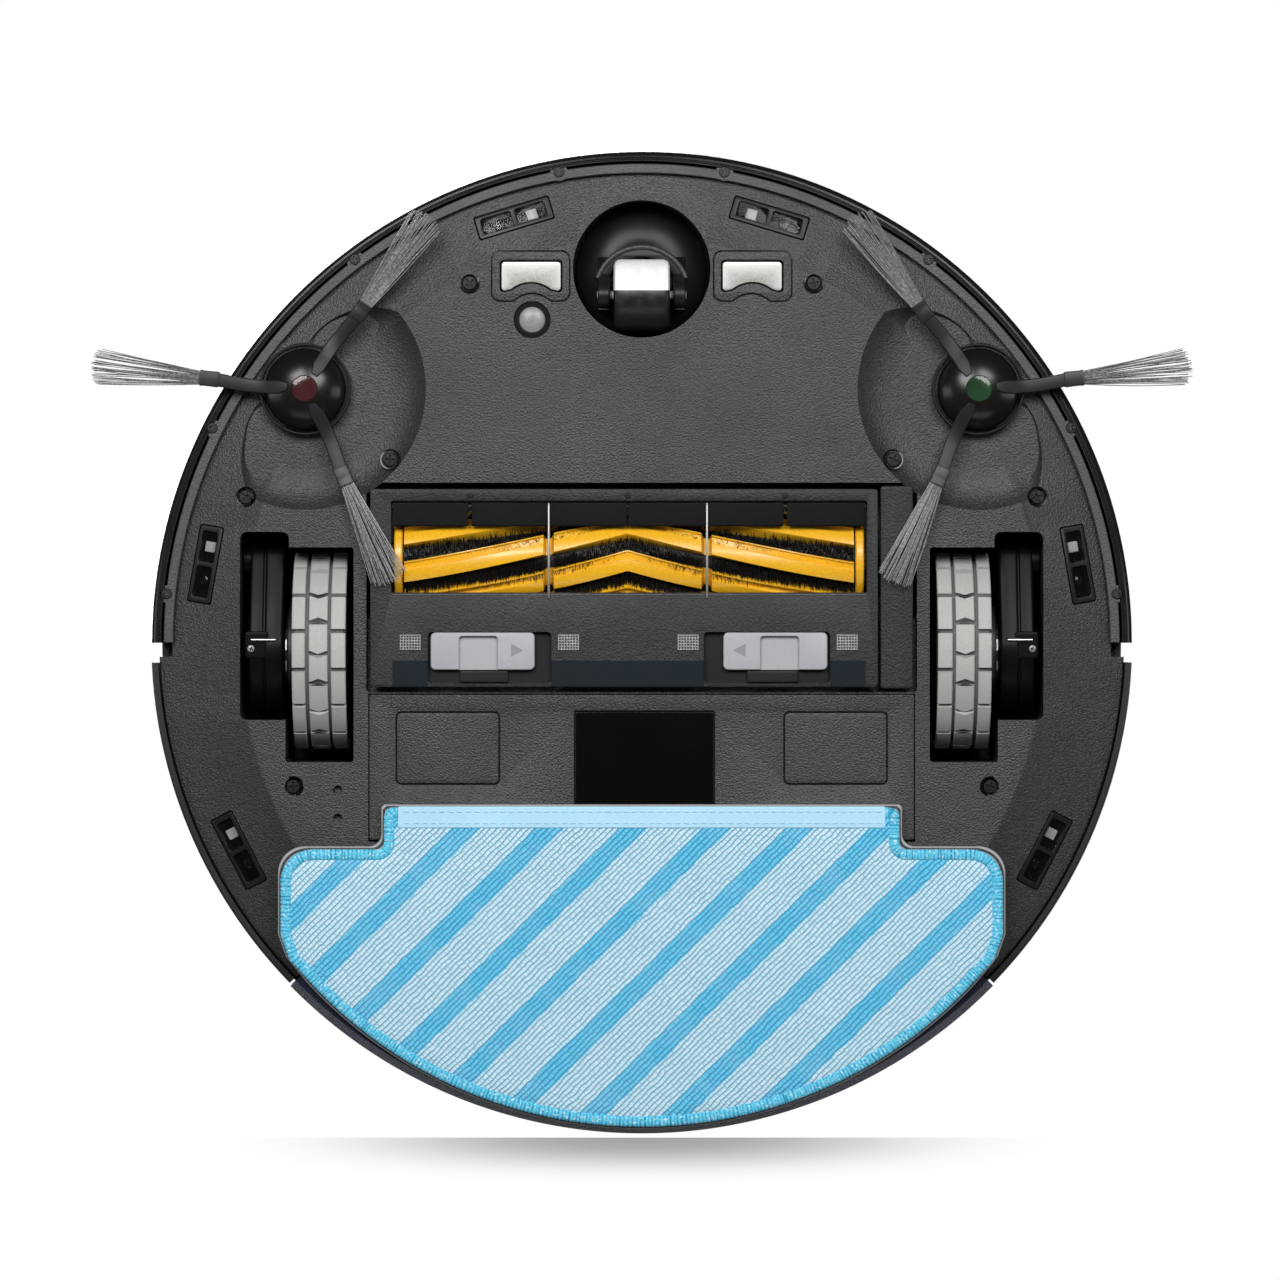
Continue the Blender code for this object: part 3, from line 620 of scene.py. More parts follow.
def metal(name, colour, rough, grain=0.0002):
    """Bare metal with a fine, uneven finish."""
    tree, shader = new_material(name)
    brushed = noise(tree, grain, 3)
    dull = tuple(0.75 * c for c in colour)
    tree.links.new(blended(tree, ranged(tree, brushed, 0, 1), dull, colour), shader.inputs["Base Color"])
    tree.links.new(ranged(tree, brushed, rough[0], rough[1]), shader.inputs["Roughness"])
    shader.inputs["Metallic"].default_value = 1.0
    bumped(tree, shader, [(brushed, 0.00001, 0.4)])


def tinted_glass(name, colour, rough=0.05, alpha=0.5):
    """Clear smoky plastic: partly see-through, with a gloss and faint flow marks."""
    tree, shader = new_material(name)
    flow = noise(tree, 0.01, 2)
    deep = tuple(0.6 * c for c in colour)
    tree.links.new(blended(tree, ranged(tree, flow, 0, 1), deep, colour), shader.inputs["Base Color"])
    tree.links.new(ranged(tree, flow, rough, rough + 0.06), shader.inputs["Roughness"])
    shader.inputs["Alpha"].default_value = alpha
    bumped(tree, shader, [(flow, 0.00002, 0.3)])


# Moulded plastics: name, darker and lighter colour, roughness range, grain size and height in
# millimetres, grain strength, gloss, clear coat
PLASTICS = (
    ("grained_black", (0.011, 0.0112, 0.012), (0.040, 0.0403, 0.042), (0.38, 0.46), 0.65, 0.36, 0.9),
    ("guard_black", (0.010, 0.0102, 0.011), (0.024, 0.0243, 0.026), (0.42, 0.5), 0.65, 0.28, 0.8, 0.32),
    ("satin_black", (0.008, 0.008, 0.0085), (0.014, 0.014, 0.015), (0.3, 0.42), 0.4, 0.02, 0.3, 0.25),
    ("gloss_black", (0.002, 0.002, 0.0018), (0.004, 0.004, 0.0036), (0.1, 0.16), 0.5, 0.004, 0.1, 0.3),
    ("bumper_black", (0.007, 0.007, 0.0075), (0.012, 0.012, 0.0125), (0.2, 0.3), 0.5, 0.01, 0.2, 0.35),
    ("deck_black", (0.016, 0.0162, 0.017), (0.026, 0.0263, 0.0275), (0.3, 0.42), 0.4, 0.02, 0.3, 0.35),
    ("lid_black", (0.008, 0.0082, 0.009), (0.013, 0.0133, 0.0145), (0.16, 0.24), 0.5, 0.006, 0.1, 0.4),
    ("ring_grey", (0.02, 0.0205, 0.022), (0.07, 0.071, 0.075), (0.36, 0.46), 0.5, 0.22, 0.8),
    ("flap_black", (0.004, 0.0043, 0.0038), (0.008, 0.0084, 0.0075), (0.45, 0.55), 0.6, 0.03, 0.4, 0.08),
    ("latch_grey", (0.37, 0.38, 0.40), (0.42, 0.43, 0.455), (0.45, 0.55), 0.4, 0.01, 0.2),
    ("latch_mark", (0.23, 0.235, 0.25), (0.26, 0.265, 0.28), (0.45, 0.55), 0.4, 0.01, 0.2),
    ("plug_grey", (0.20, 0.20, 0.20), (0.30, 0.30, 0.30), (0.3, 0.4), 0.5, 0.03, 0.4),
    ("plate_grey", (0.33, 0.335, 0.35), (0.40, 0.405, 0.42), (0.4, 0.5), 0.4, 0.02, 0.3),
    ("hub_grey", (0.014, 0.014, 0.015), (0.022, 0.022, 0.023), (0.34, 0.46), 0.4, 0.02, 0.3, 0.4),
    ("arm_black", (0.003, 0.003, 0.0028), (0.006, 0.006, 0.0056), (0.3, 0.42), 0.5, 0.01, 0.2, 0.09),
    ("brush_dome", (0.006, 0.0052, 0.005), (0.010, 0.0088, 0.0085), (0.22, 0.3), 0.4, 0.005, 0.1, 0.4),
    ("brush_arm", (0.010, 0.0105, 0.0120), (0.016, 0.0168, 0.019), (0.4, 0.5), 0.4, 0.01, 0.2, 0.3),
    ("tyre_grey", (0.40, 0.405, 0.385), (0.47, 0.475, 0.45), (0.6, 0.75), 0.5, 0.03, 0.4, 0.3),
    # The tyre's root is painted dark grey: painted shade in the grooves between the tread blocks.
    ("tyre_groove", (0.11, 0.112, 0.105), (0.15, 0.152, 0.145), (0.6, 0.75), 0.5, 0.04, 0.5, 0.3),
    ("roller_yellow", (0.80, 0.40, 0.012), (0.90, 0.50, 0.02), (0.25, 0.38), 0.9, 0.01, 0.2, 0.5, 0.25),
    ("caster_white", (0.80, 0.80, 0.80), (0.88, 0.88, 0.88), (0.3, 0.4), 0.4, 0.01, 0.3),
    ("navy_plastic", (0.006, 0.011, 0.015), (0.010, 0.016, 0.021), (0.4, 0.5), 0.4, 0.02, 0.3, 0.12),
    ("bristle_grey", (0.12, 0.12, 0.118), (0.34, 0.34, 0.335), (0.35, 0.5), 0.9, 0.01, 0.2),
    ("bristle_black", (0.005, 0.0045, 0.004), (0.013, 0.010, 0.008), (0.45, 0.6), 0.6, 0.01, 0.2),
    ("mesh_dark", (0.02, 0.02, 0.02), (0.04, 0.04, 0.04), (0.5, 0.6), 0.4, 0.04, 0.6),
    ("mesh_grey", (0.25, 0.25, 0.25), (0.62, 0.62, 0.62), (0.4, 0.5), 0.6, 0.06, 0.8),
    ("board_green", (0.012, 0.07, 0.03), (0.02, 0.1, 0.045), (0.35, 0.45)),
    ("battery_blue", (0.03, 0.08, 0.24), (0.04, 0.11, 0.3), (0.35, 0.45)),
    ("tape_blue", (0.42, 0.70, 0.88), (0.48, 0.77, 0.93), (0.65, 0.8), 0.6, 0.03, 0.4, 0.25),
)


def make_materials():
    """Every plain material; the patterned ones have functions of their own."""
    for row in PLASTICS:
        plastic(*row)
    metal("steel", (0.62, 0.62, 0.62), (0.22, 0.38))
    metal("contact_silver", (0.50, 0.49, 0.47), (0.42, 0.56), 0.0006)
    metal("screw_black", (0.035, 0.035, 0.037), (0.34, 0.46))
    tinted_glass("smoky_tank", (0.03, 0.034, 0.06), 0.08, 0.8)
    tinted_glass("lens_smoke", (0.01, 0.01, 0.012), 0.04, 0.22)
    tinted_glass("sensor_eye", (0.012, 0.010, 0.012), 0.05, 0.9)
    tinted_glass("cap_red", (0.085, 0.022, 0.026), 0.08, 0.8)
    tinted_glass("cap_green", (0.028, 0.075, 0.034), 0.08, 0.8)


def dress(obj, body, material, slot=None, replaces=()):
    """Gives a piece its body, material, finish slot and the CAD nodes it stands for."""
    obj.data.materials.clear()
    obj.data.materials.append(bpy.data.materials[f"look_{material}"])
    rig.ride(obj, body)
    if slot:
        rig.slot(obj, slot)
    if replaces:
        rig.replaces(obj, *replaces)
    return obj


# Belly

DISH_KEYS = (
    (39, 0.0285), (62, 0.043), (220, 0.043), (233, 0.0365), (266, 0.0168), (375, 0.0168), (399, 0.0285),
)
SCREW_WELLS = ((0.0613, -0.1276), (0.0896, -0.0648), (0.141, -0.0515), (0.124, 0.0516))
SCREW_WELL_R = 0.0031
CONTACT_X = (0.0255, 0.0535)
CONTACT_Y = (-0.139, -0.121)
PAD_X, PAD_Y = (0.0505, 0.0875), (0.025, 0.051)


def dish_reach(angle):
    """How far the dish under the left side brush reaches from its hub, at an angle in degrees."""
    for (a, near), (b, far) in zip(DISH_KEYS, DISH_KEYS[1:]):
        if a <= angle <= b:
            return near + (far - near) * (angle - a) / (b - a)
    return DISH_KEYS[-1][1]


def dish_outline(side, grow=0.0, count=120):
    hub = HUBS["left"]
    points = []
    for i in range(count):
        angle = 39 + 360 * i / count
        reach, spin = dish_reach(angle) + grow, math.radians(angle)
        points.append((side * (hub.x + reach * math.cos(spin)), hub.y + reach * math.sin(spin)))
    return points


def front_cutter(inner, back, top):
    """A half ring in front of the line y = back, outside the inner radius."""
    edge = math.degrees(math.asin(back / inner))
    outline = [(0.19, back), *arc((0, 0), 0.19, 0, -180, 24), (-0.19, back)]
    return plate("front_cut", [outline + arc((0, 0), inner, -180 - edge, edge, 120)], 0.002, top)


def bay_outline(grow):
    mouth = MOUTH + Vector((grow, 0))
    far = mouth * 1.06
    angle = math.degrees(math.atan2(far.y, far.x))
    points = [(BAY_X + grow, BAY_FRONT - grow), (BAY_X + grow, 0.1162), tuple(mouth)]
    return mirrored(points + arc((0, 0), far.length, angle, 90, 24))


def side_box(side, near, far, ys, zs):
    low_x, high_x = pair(side, near, far)
    return box("tool", (low_x, ys[0], zs[0]), (high_x, ys[1], zs[1]))


def contact_outline(side, grow=0.0):
    """The island round a charging contact: a round-cornered panel with a notch for the front edge's arc."""
    low, high = CONTACT_X[0] - grow, CONTACT_X[1] + grow
    front, back = CONTACT_Y[0] - grow, CONTACT_Y[1] + grow
    corner = 0.003
    points = arc((low + corner, front + corner), corner, 180, 270, 6)
    points += arc((high - corner, front + corner), corner, 270, 360, 6)
    points += arc((high - corner, back - corner), corner, 0, 90, 6)
    points += arc((0.039, -0.1145), 0.0092 - grow, -44, -136, 12)
    points += arc((low + corner, back - corner), corner, 90, 180, 6)
    return on_side(points, side)


def contact_plate(side, grow=0.0):
    """A charging contact's own outline, inside its island."""
    low, high, front, back, corner = 0.0287 - grow, 0.05 + grow, -0.1352 - grow, -0.1247 + grow, 0.0013
    points = arc((low + corner, front + corner), corner, 180, 270, 4)
    points += arc((high - corner, front + corner), corner, 270, 360, 4)
    points += arc((high - corner, back - corner), corner, 0, 90, 4)
    points += arc((0.0394, -0.1166), 0.0112 - grow, -50, -130, 12)
    points += arc((low + corner, back - corner), corner, 90, 180, 4)
    return on_side(points, side)


def lens_sites():
    """(name, side, place) of each cliff sensor on the sloping rim."""
    sites = []
    for name, x, y in (("front", 0.0455, -0.151), ("side", 0.1555, -0.0275), ("rear", 0.1437, 0.0745)):
        for side_name, side in SIDES:
            sites.append((f"{name}_{side_name}", side, rim_place(side * x, y)))
    return sites


def belly_profile():
    """The turned section of the belly pan: a flat middle, a crease, a sloping rim and a wall."""
    end = BELLY + BELLY_SLOPE * (FLANGE_R - CREASE_R)
    crease = []
    for i in range(5):
        radius = CREASE_R - 0.0008 + 0.0004 * i
        crease.append((radius, BELLY + 0.0001 * i * i * BELLY_SLOPE))
    return [
        (TRAY_R, WALL_TOP), (TRAY_R, end + PLATE), (FLANGE_R - 0.0004, end + PLATE),
        (FLANGE_R, end + PLATE - 0.0004), (FLANGE_R, end + 0.0005), (FLANGE_R - 0.0005, end - 0.0001),
        *reversed(crease), (0, BELLY), (0, BELLY + PLATE), (CREASE_R, BELLY + PLATE),
        (TRAY_R - 0.0025, end + PLATE - 0.001), (TRAY_R - 0.0025, WALL_TOP),
    ]


def pocket_outline(x_span, y_span, radius, side):
    low, high = pair(side, *x_span)
    return rounded((low, y_span[0]), (high, y_span[1]), radius)


def belly_cutters(side):
    """What is cut from the belly on one side: wheel well, dish, brush seat, contact and screw wells."""
    hub = (side * HUBS["left"].x, HUBS["left"].y)
    wheel = pocket_outline((0.1025, 0.1268), (-0.0335, 0.043), 0.0012, side)
    gear = pocket_outline((0.1255, 0.143), (-0.039, 0.028), 0.0025, side)
    cuts = [
        plate("wheel_pocket", [wheel], 0.002, WELL_TOP - 0.0003),
        plate("gear_pocket", [gear], 0.002, WELL_TOP),
        plate("dish", [dish_outline(side)], 0.002, 0.0146),
        rod("brush_well", 0.0163, (*hub, 0.002), (*hub, 0.0176), 64),
        rod("shaft_hole", 0.0035, (*hub, 0.015), (*hub, 0.024), 24),
        plate("contact_island", [contact_outline(side, 0.0002)], 0.002, BELLY + 0.0018),
        plate("contact_hole", [contact_plate(side, 0.0004)], 0.005, 0.02),
    ]
    for x, y in SCREW_WELLS:
        depth = belly_height(x, y) + 0.0030
        cuts.append(rod("screw_well", SCREW_WELL_R, (side * x, y, 0.002), (side * x, y, depth), 32))
    return cuts


def make_belly():
    """The grained pan of the underside, with everything that opens in it."""
    shell = turned("belly", belly_profile(), 192)
    joins = []
    cuts = [front_cutter(FRONT_R, 0.0055, 0.04)]
    for _, side in SIDES:
        hub = (side * HUBS["left"].x, HUBS["left"].y)
        joins += [
            side_box(side, 0.124, 0.145, (-0.041, 0.030), (0.0105, 0.0734)),
            side_box(side, 0.1004, 0.1285, (-0.0355, 0.045), (0.0103, 0.0731)),
            rod("brush_wall", 0.0186, (*hub, 0.0145), (*hub, 0.0208), 48),
            plate("dish_roof", [dish_outline(side, 0.0015)], 0.0146, 0.0172),
        ]
        cuts += belly_cutters(side)
        for x, y in SCREW_WELLS:
            depth = belly_height(x, y) + 0.0046
            joins.append(
                rod(
                    "screw_boss", 0.0045, (side * x, y, belly_height(x, y) + 0.0018), (side * x, y, depth),
                    24,
                ),
            )
    joins += [
        box("chamber_housing", (-0.101, -0.058, 0.0102), (0.101, -0.006, 0.044)),
        box("cover_rim", (-0.1011, -0.007, 0.0104), (0.1011, 0.0183, 0.0165)),
        rod("socket_wall", SOCKET_R + 0.002, (0, CASTER.y, 0.0106), (0, CASTER.y, 0.037), 72),
    ]
    wall_end = math.sqrt(0.1668**2 - 0.1215**2)
    end_angle = math.degrees(math.atan2(wall_end, 0.1215))
    bay_wall = mirrored([(0.1215, BAY_FRONT - 0.002), *arc((0, 0), 0.1668, end_angle, 90, 16)])
    joins.append(plate("bay_housing", [bay_wall], 0.0101, BAY_TOP + 0.002))
    cuts += [
        plate("chamber", [rounded((-0.098, -0.0565), (0.098, -0.008), 0.0016)], 0.002, 0.042),
        plate("cover_recess", [rounded((-0.098, -0.0092), (0.098, 0.018), 0.0012)], 0.002, 0.0143),
        box("duct_hole", (-0.030, -0.0095, 0.024), (0.030, -0.003, 0.038)),
        plate("bay", [bay_outline(0)], 0.002, BAY_TOP),
        rod("socket", SOCKET_R, (0, CASTER.y, 0.002), (0, CASTER.y, 0.035), 96),
        rod("plug_hole", 0.0066, (-0.039, -0.1145, 0.002), (-0.039, -0.1145, 0.0135), 40),
        box("panel_hole", (-0.0973, 0.0186, 0.002), (0.0973, 0.0713, 0.0135)),
        rod("small_hole", 0.0017, (-0.1082, 0.053, 0.005), (-0.1082, 0.053, 0.0114), 20),
        rod("small_hole", 0.0017, (-0.1082, 0.063, 0.005), (-0.1082, 0.063, 0.0114), 20),
    ]
    for _, _, place in lens_sites():
        cuts.append(plate("lens_hole", [lens_outline(0.0004)], -0.006, 0.0085, 0, place))
    shell = carved(shell, joins, cuts, 12)
    housings = [f"wheel_housing_{name}" for name, _ in SIDES]
    dress(
        shell, "chassis", "grained_black", "grained_black",
        ["base_shell", "brush_chamber", "caster_socket", *housings],
    )
    for side_name, side in SIDES:
        make_dish(side_name, side)


def lens_outline(grow=0.0):
    """A cliff sensor's own outline."""
    wide, deep = 0.0137 + grow, 0.0042 + grow
    return rounded((-wide, -deep), (wide, deep), 0.0009, 4)


def make_dish(side_name, side):
    """The bowl under a side brush, sinking from its outline to the ring round the hub."""
    hub = HUBS["left"]
    rings, around, inner = 14, 180, 0.0163
    bm = bmesh.new()
    rows = []
    for k in range(rings + 1):
        t = k / rings
        row = []
        for i in range(around):
            angle = 39 + 360 * i / around
            reach, spin = dish_reach(angle) + 0.0002, math.radians(angle)
            radius = reach + (inner - reach) * t
            x, y = hub.x + radius * math.cos(spin), hub.y + radius * math.sin(spin)
            edge = belly_height(hub.x + reach * math.cos(spin), hub.y + reach * math.sin(spin))
            run = max(0.0, reach - inner)
            depth = min(0.0057, 0.3 * run)
            fall = depth * (1 - (1 - t) ** 4.6)
            row.append(bm.verts.new((side * x, y, edge + 0.00005 + fall)))
        rows.append(row)
    lip = []
    for i in range(around):
        spin = math.radians(39 + 360 * i / around)
        lip.append(
            bm.verts.new((side * (hub.x + inner * math.cos(spin)), hub.y + inner * math.sin(spin), 0.0172)),
        )
    rows.append(lip)
    for a, b in zip(rows, rows[1:]):
        for i in range(around):
            j = (i + 1) % around
            bm.faces.new((a[i], a[j], b[j], b[i]) if side < 0 else (a[i], b[i], b[j], a[j]))
    bowl = new_object(f"brush_dish_{side_name}", bm, 50)
    dress(bowl, "chassis", "grained_black", "grained_black")
    centre = (side * hub.x, hub.y, 0)
    ring = [
        (0.0163, 0.0122), (0.0163, 0.0096), (0.01605, 0.0093), (0.0157, 0.0093), (0.01545, 0.0096),
        (0.01545, 0.0122),
    ]
    seat = turned(f"brush_seat_{side_name}", ring, 96, centre)
    dress(seat, "chassis", "satin_black", "satin_black")


def make_screw(name, body, place, radius, material="screw_black"):
    """A pan-head screw, head along -Z of its place, with its driver recess cut in."""
    profile = [
        (0, 0.0022), (radius * 0.55, 0.0022), (radius, 0.0002), (radius, -0.0002), (radius * 0.9, -0.0005),
        (0, -0.00055),
    ]
    head = turned(name, profile, 40)
    width, reach = radius * 0.26, radius * 0.7
    tools = []
    for turn in (0, 90):
        spin = Matrix.Rotation(math.radians(turn + 20), 4, "Z")
        tools.append(box("slot", (-reach, -width / 2, -0.002), (reach, width / 2, 0.0006), spin))
    tools.append(rod("slot_middle", radius * 0.26, (0, 0, -0.002), (0, 0, 0.0007), 16, radius * 0.12))
    head = carved(head, (), tools, 30)
    head.matrix_world = place
    dress(head, body, material)


def make_belly_screws():
    """The eight deep-set chassis screws, each with a bright-edged well."""
    for side_name, side in SIDES:
        for i, (x, y) in enumerate(SCREW_WELLS):
            spot = Matrix.Translation((side * x, y, belly_height(x, y) + 0.0014))
            make_screw(
                f"belly_screw_{side_name}_{i}", "chassis", spot @ Matrix.Rotation(0.7 * i + side, 4, "Z"),
                0.0025,
            )
            ring = [
                (0.0031, 0.0003), (0.0031, -0.00005), (0.0036, -0.0001), (0.0037, 0.00005),
                (0.0037, 0.0003),
            ]
            washer = turned(f"screw_rim_{side_name}_{i}", ring, 40)
            washer.matrix_world = rim_place(side * x, y)
            dress(washer, "chassis", "gloss_black")


def make_contacts():
    """The two charging contacts on their islands, and the round plug beside them."""
    for side_name, side in SIDES:
        outlines = [contact_outline(side, -0.0002), contact_plate(side, 0.0004)]
        island = plate(f"contact_island_{side_name}", outlines, BELLY - 0.0001, BELLY + 0.0016, 0.0003)
        dress(island, "chassis", "grained_black", "grained_black")
        pad = plate(f"contact_{side_name}", [contact_plate(side)], BELLY + 0.0004, BELLY + 0.0018, 0.0003)
        dress(pad, "chassis", "contact_silver", "steel", [f"charge_contact_{side_name}"])
    plug = [
        (0, 0.0130), (0.0062, 0.0130), (0.0062, 0.0114), (0.0049, 0.0110), (0.0047, 0.0104),
        (0.0044, 0.0099), (0.0036, 0.0095), (0.0020, 0.0092), (0, 0.0091),
    ]
    dress(turned("plug", plug, 64, (-0.039, -0.1145, 0)), "chassis", "plug_grey", "latch_grey")
    well = [(0.0063, 0.0097), (0.0063, 0.0104), (0.0049, 0.0104), (0.0049, 0.0097)]
    dress(
        outward(turned("plug_well", well, 64, (-0.039, -0.1145, 0))), "chassis", "arm_black", "satin_black",
    )


def make_rear_panel():
    """The panel behind the guard with its two pads and glossy patch, and the brush drive cover."""
    low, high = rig.box("rear_panel")
    holes, pads = [], []
    for name, side in SIDES:
        x0, x1 = pair(side, *PAD_X)
        holes.append(rounded((x0, PAD_Y[0]), (x1, PAD_Y[1]), 0.002))
        pads.append(
            (name, rounded((x0 + 0.0004, PAD_Y[0] + 0.0004), (x1 - 0.0004, PAD_Y[1] - 0.0004), 0.0017)),
        )
    window = rounded((-0.024, 0.0247), (0.026, 0.059), 0.0008)
    frame_outline = rounded((low.x, low.y), (high.x, high.y), 0.0008)
    panel = plate("rear_panel_sheet", [frame_outline, *holes, window], low.z, high.z, 0.0003)
    dress(panel, "chassis", "grained_black", "grained_black", ["rear_panel"])
    back = plate(
        "rear_panel_back", [rounded((-0.092, 0.022), (0.092, 0.066), 0.001)], low.z + 0.0012,
        high.z + 0.0003,
    )
    dress(back, "chassis", "satin_black", "grained_black")
    for name, outline in pads:
        dress(
            plate(f"panel_pad_{name}", [outline], low.z, low.z + 0.0015, 0.0003), "chassis",
            "grained_black", "grained_black",
        )
    patch = rounded((-0.0236, 0.0251), (0.0256, 0.0586), 0.0006)
    dress(
        plate("panel_patch", [patch], low.z + 0.0001, low.z + 0.0015, 0.0002), "chassis", "gloss_black",
        "gloss_black",
    )
    for name, side in SIDES:
        x0, x1 = pair(side, 0.0973, 0.1195)
        strip = box(f"bay_strip_{name}", (x0, 0.0697, BELLY + 0.0009), (x1, 0.0722, BELLY + 0.0028))
        dress(strip, "chassis", "navy_plastic", "satin_black")
    low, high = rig.box("side_cover")
    cover = plate(
        "side_cover_sheet", [rounded((low.x, low.y), (high.x, high.y), 0.0012)], low.z, high.z, 0.0005,
    )
    dress(cover, "chassis", "guard_black", "grained_black", ["side_cover"])


def make_lenses():
    """Each cliff sensor: two smoked panes over a dark tray, a domed emitter and a pale receiver."""
    for tag, side, place in lens_sites():
        floor = 0.0062
        tray = plate(f"sensor_tray_{tag}", [lens_outline()], floor, 0.0075, 0.0002, place)
        dress(tray, "chassis", "gloss_black", "satin_black")
        walls = [lens_outline(), *sensor_cells(0)]
        frame_piece = plate(f"sensor_frame_{tag}", walls, -0.0001, floor, 0.0002, place)
        dress(frame_piece, "chassis", "satin_black", "satin_black")
        eye = turned(
            f"sensor_eye_{tag}",
            [(0, floor), (0.0022, floor), (0.0022, 0.0042), (0.0016, 0.0030), (0, 0.0025)], 32,
        )
        eye.matrix_world = place @ Matrix.Translation((-side * 0.0058, 0.0003, 0))
        dress(eye, "chassis", "sensor_eye", "lens_smoke")
        block = plate(
            f"sensor_block_{tag}", [rounded((-0.0019, -0.0019), (0.0019, 0.0019), 0.0004)], 0.0030, 0.0062,
            0.0003,
        )
        block.matrix_world = place @ Matrix.Translation((side * 0.0064, 0.0003, 0))
        dress(block, "chassis", "caster_white", "satin_black")
        panes = [plate("pane", [cell], 0.0005, 0.0011, 0.0001, place) for cell in sensor_cells(0.0001)]
        glass = joined(f"sensor_window_{tag}", panes, 30)
        dress(glass, "chassis", "lens_smoke", "lens_smoke", [f"cliff_lens_{tag}"])


def sensor_cells(shrink):
    """The two wells inside a sensor, side by side."""
    near, far, low, high = 0.0008 + shrink, 0.0118 - shrink, -0.0028 + shrink, 0.0030 - shrink
    return [rounded((a, low), (b, high), 0.0008, 3) for a, b in ((-far, -near), (near, far))]


# Bumper

RETAINER_SCREWS = ((0.0295, -0.1672), (0.1022, -0.1361), (0.153, -0.076), (0.1693, -0.0169))


def make_bumper():
    """The bumper's skin and its grained retainer ring with eight small screws."""
    profile = [
        (0.1734, 0.0736), (0.1745, 0.0731), (BODY_R, 0.0718), (BODY_R, 0.0170), (0.1747, 0.0152),
        (0.1741, 0.0139), (0.1733, 0.0132), (0.1726, 0.0130), (0.17225, 0.0133), (0.17205, 0.0133),
        (0.1717, 0.0129), (0.1713, 0.0129), (0.1712, 0.0132), (0.1712, 0.0150), (0.1723, 0.0164),
        (0.1723, 0.0736),
    ]
    shell = turned("bumper_skin", profile, 240)
    ends = box("bumper_back", (-0.2, 0.0005, -0.01), (0.2, 0.2, 0.1))
    shell = carved(shell, (), [ends], 25)
    dress(shell, "bumper", "bumper_black", "gloss_black", ["bumper_shell"])
    low, high, inner, outer = 0.0124, 0.0136, 0.1669, 0.1703
    ring = [
        (outer, high), (outer, low + 0.0003), (outer - 0.0003, low), (inner + 0.0003, low),
        (inner, low + 0.0003), (inner, high),
    ]
    retainer = turned("bumper_ring", ring, 240)
    joins = []
    for x, y in RETAINER_SCREWS:
        for _, side in SIDES:
            joins.append(rod("boss", 0.0031, (side * x, y, low + 0.0001), (side * x, y, high - 0.0001), 32))
    trim = [box("back", (-0.2, 0.0003, -0.01), (0.2, 0.2, 0.1)), outer_ring_cutter(0.1710)]
    retainer = carved(retainer, joins, trim, 30)
    dress(retainer, "bumper", "ring_grey", "grained_black", ["bumper_retainer"])
    for i, (x, y) in enumerate(RETAINER_SCREWS):
        for side_name, side in SIDES:
            spot = Matrix.Translation((side * x, y, 0.01235))
            make_screw(
                f"ring_screw_{side_name}_{i}", "bumper", spot @ Matrix.Rotation(0.9 * i, 4, "Z"), 0.0019,
            )


def outer_ring_cutter(inner):
    profile = [(0.19, 0.03), (0.19, 0.0), (inner, 0.0), (inner, 0.03)]
    return turned("ring_cut", profile, 240)


# Caster


def make_caster():
    """The swivelling fork under its dome, its axle and the wheel."""
    arch = [
        (0.0236, 0.0340), (0.0236, 0.0272), (0.0228, 0.0262), (0.0170, 0.0216), (0.0120, 0.0205),
        (0.0080, 0.0205), (0, 0.0270), (0, 0.0340),
    ]
    dome = turned("fork_dome", arch, 96, (0, CASTER.y, 0))
    axle_y = CASTER_WHEEL.y
    outline = [
        (axle_y + 0.0052, 0.0285), (axle_y + 0.0052, 0.0128), *arc((axle_y, 0.0128), 0.0046, 0, -180, 14),
    ]
    outline += [(-0.1368, 0.0190), (-0.1400, 0.0285)]
    cheeks = []
    for _, side in SIDES:
        cheeks.append(plate("cheek", [outline], *pair(side, 0.0113, 0.0157), 0.0006, UPRIGHT))
    rim = arc((0, axle_y - 0.0005), 0.0175, 200, 340, 24) + arc((0, axle_y - 0.0005), 0.0132, 340, 200, 24)
    hood = plate("hood", [rim], 0.0150, 0.0240, 0.0004)
    fork = joined("fork", [dome, *cheeks, hood], 40)
    dress(fork, "caster_fork", "satin_black", "satin_black", ["caster_fork"])
    edge = tube(
        "fork_edge", [(x, y, 0.0149) for x, y in arc((0, axle_y - 0.0005), 0.0168, 200, 340, 40)], 0.0010,
    )
    dress(edge, "caster_fork", "ring_grey")
    axle = rod("fork_axle", 0.0015, (-0.0159, axle_y, CASTER_WHEEL.z), (0.0159, axle_y, CASTER_WHEEL.z), 24)
    dress(axle, "caster_fork", "latch_grey", "steel", ["caster_axle"])
    radius, half = CASTER_WHEEL_SIZE.z / 2, CASTER_WHEEL_SIZE.x / 2
    wheel = [
        (0.0019, half - 0.0006), (0.0050, half), (radius - 0.0022, half), (radius - 0.0007, half - 0.0006),
        (radius, half - 0.0020), (radius, -half + 0.0020), (radius - 0.0007, -half + 0.0006),
        (radius - 0.0022, -half), (0.0050, -half), (0.0019, -half + 0.0006),
    ]
    wheel.reverse()
    tyre = outward(turned("caster_roller", wheel, 96, CASTER_WHEEL, (0, math.pi / 2, 0)))
    dress(tyre, "caster_wheel", "caster_two_tone", "caster_white", ["caster_wheel"])


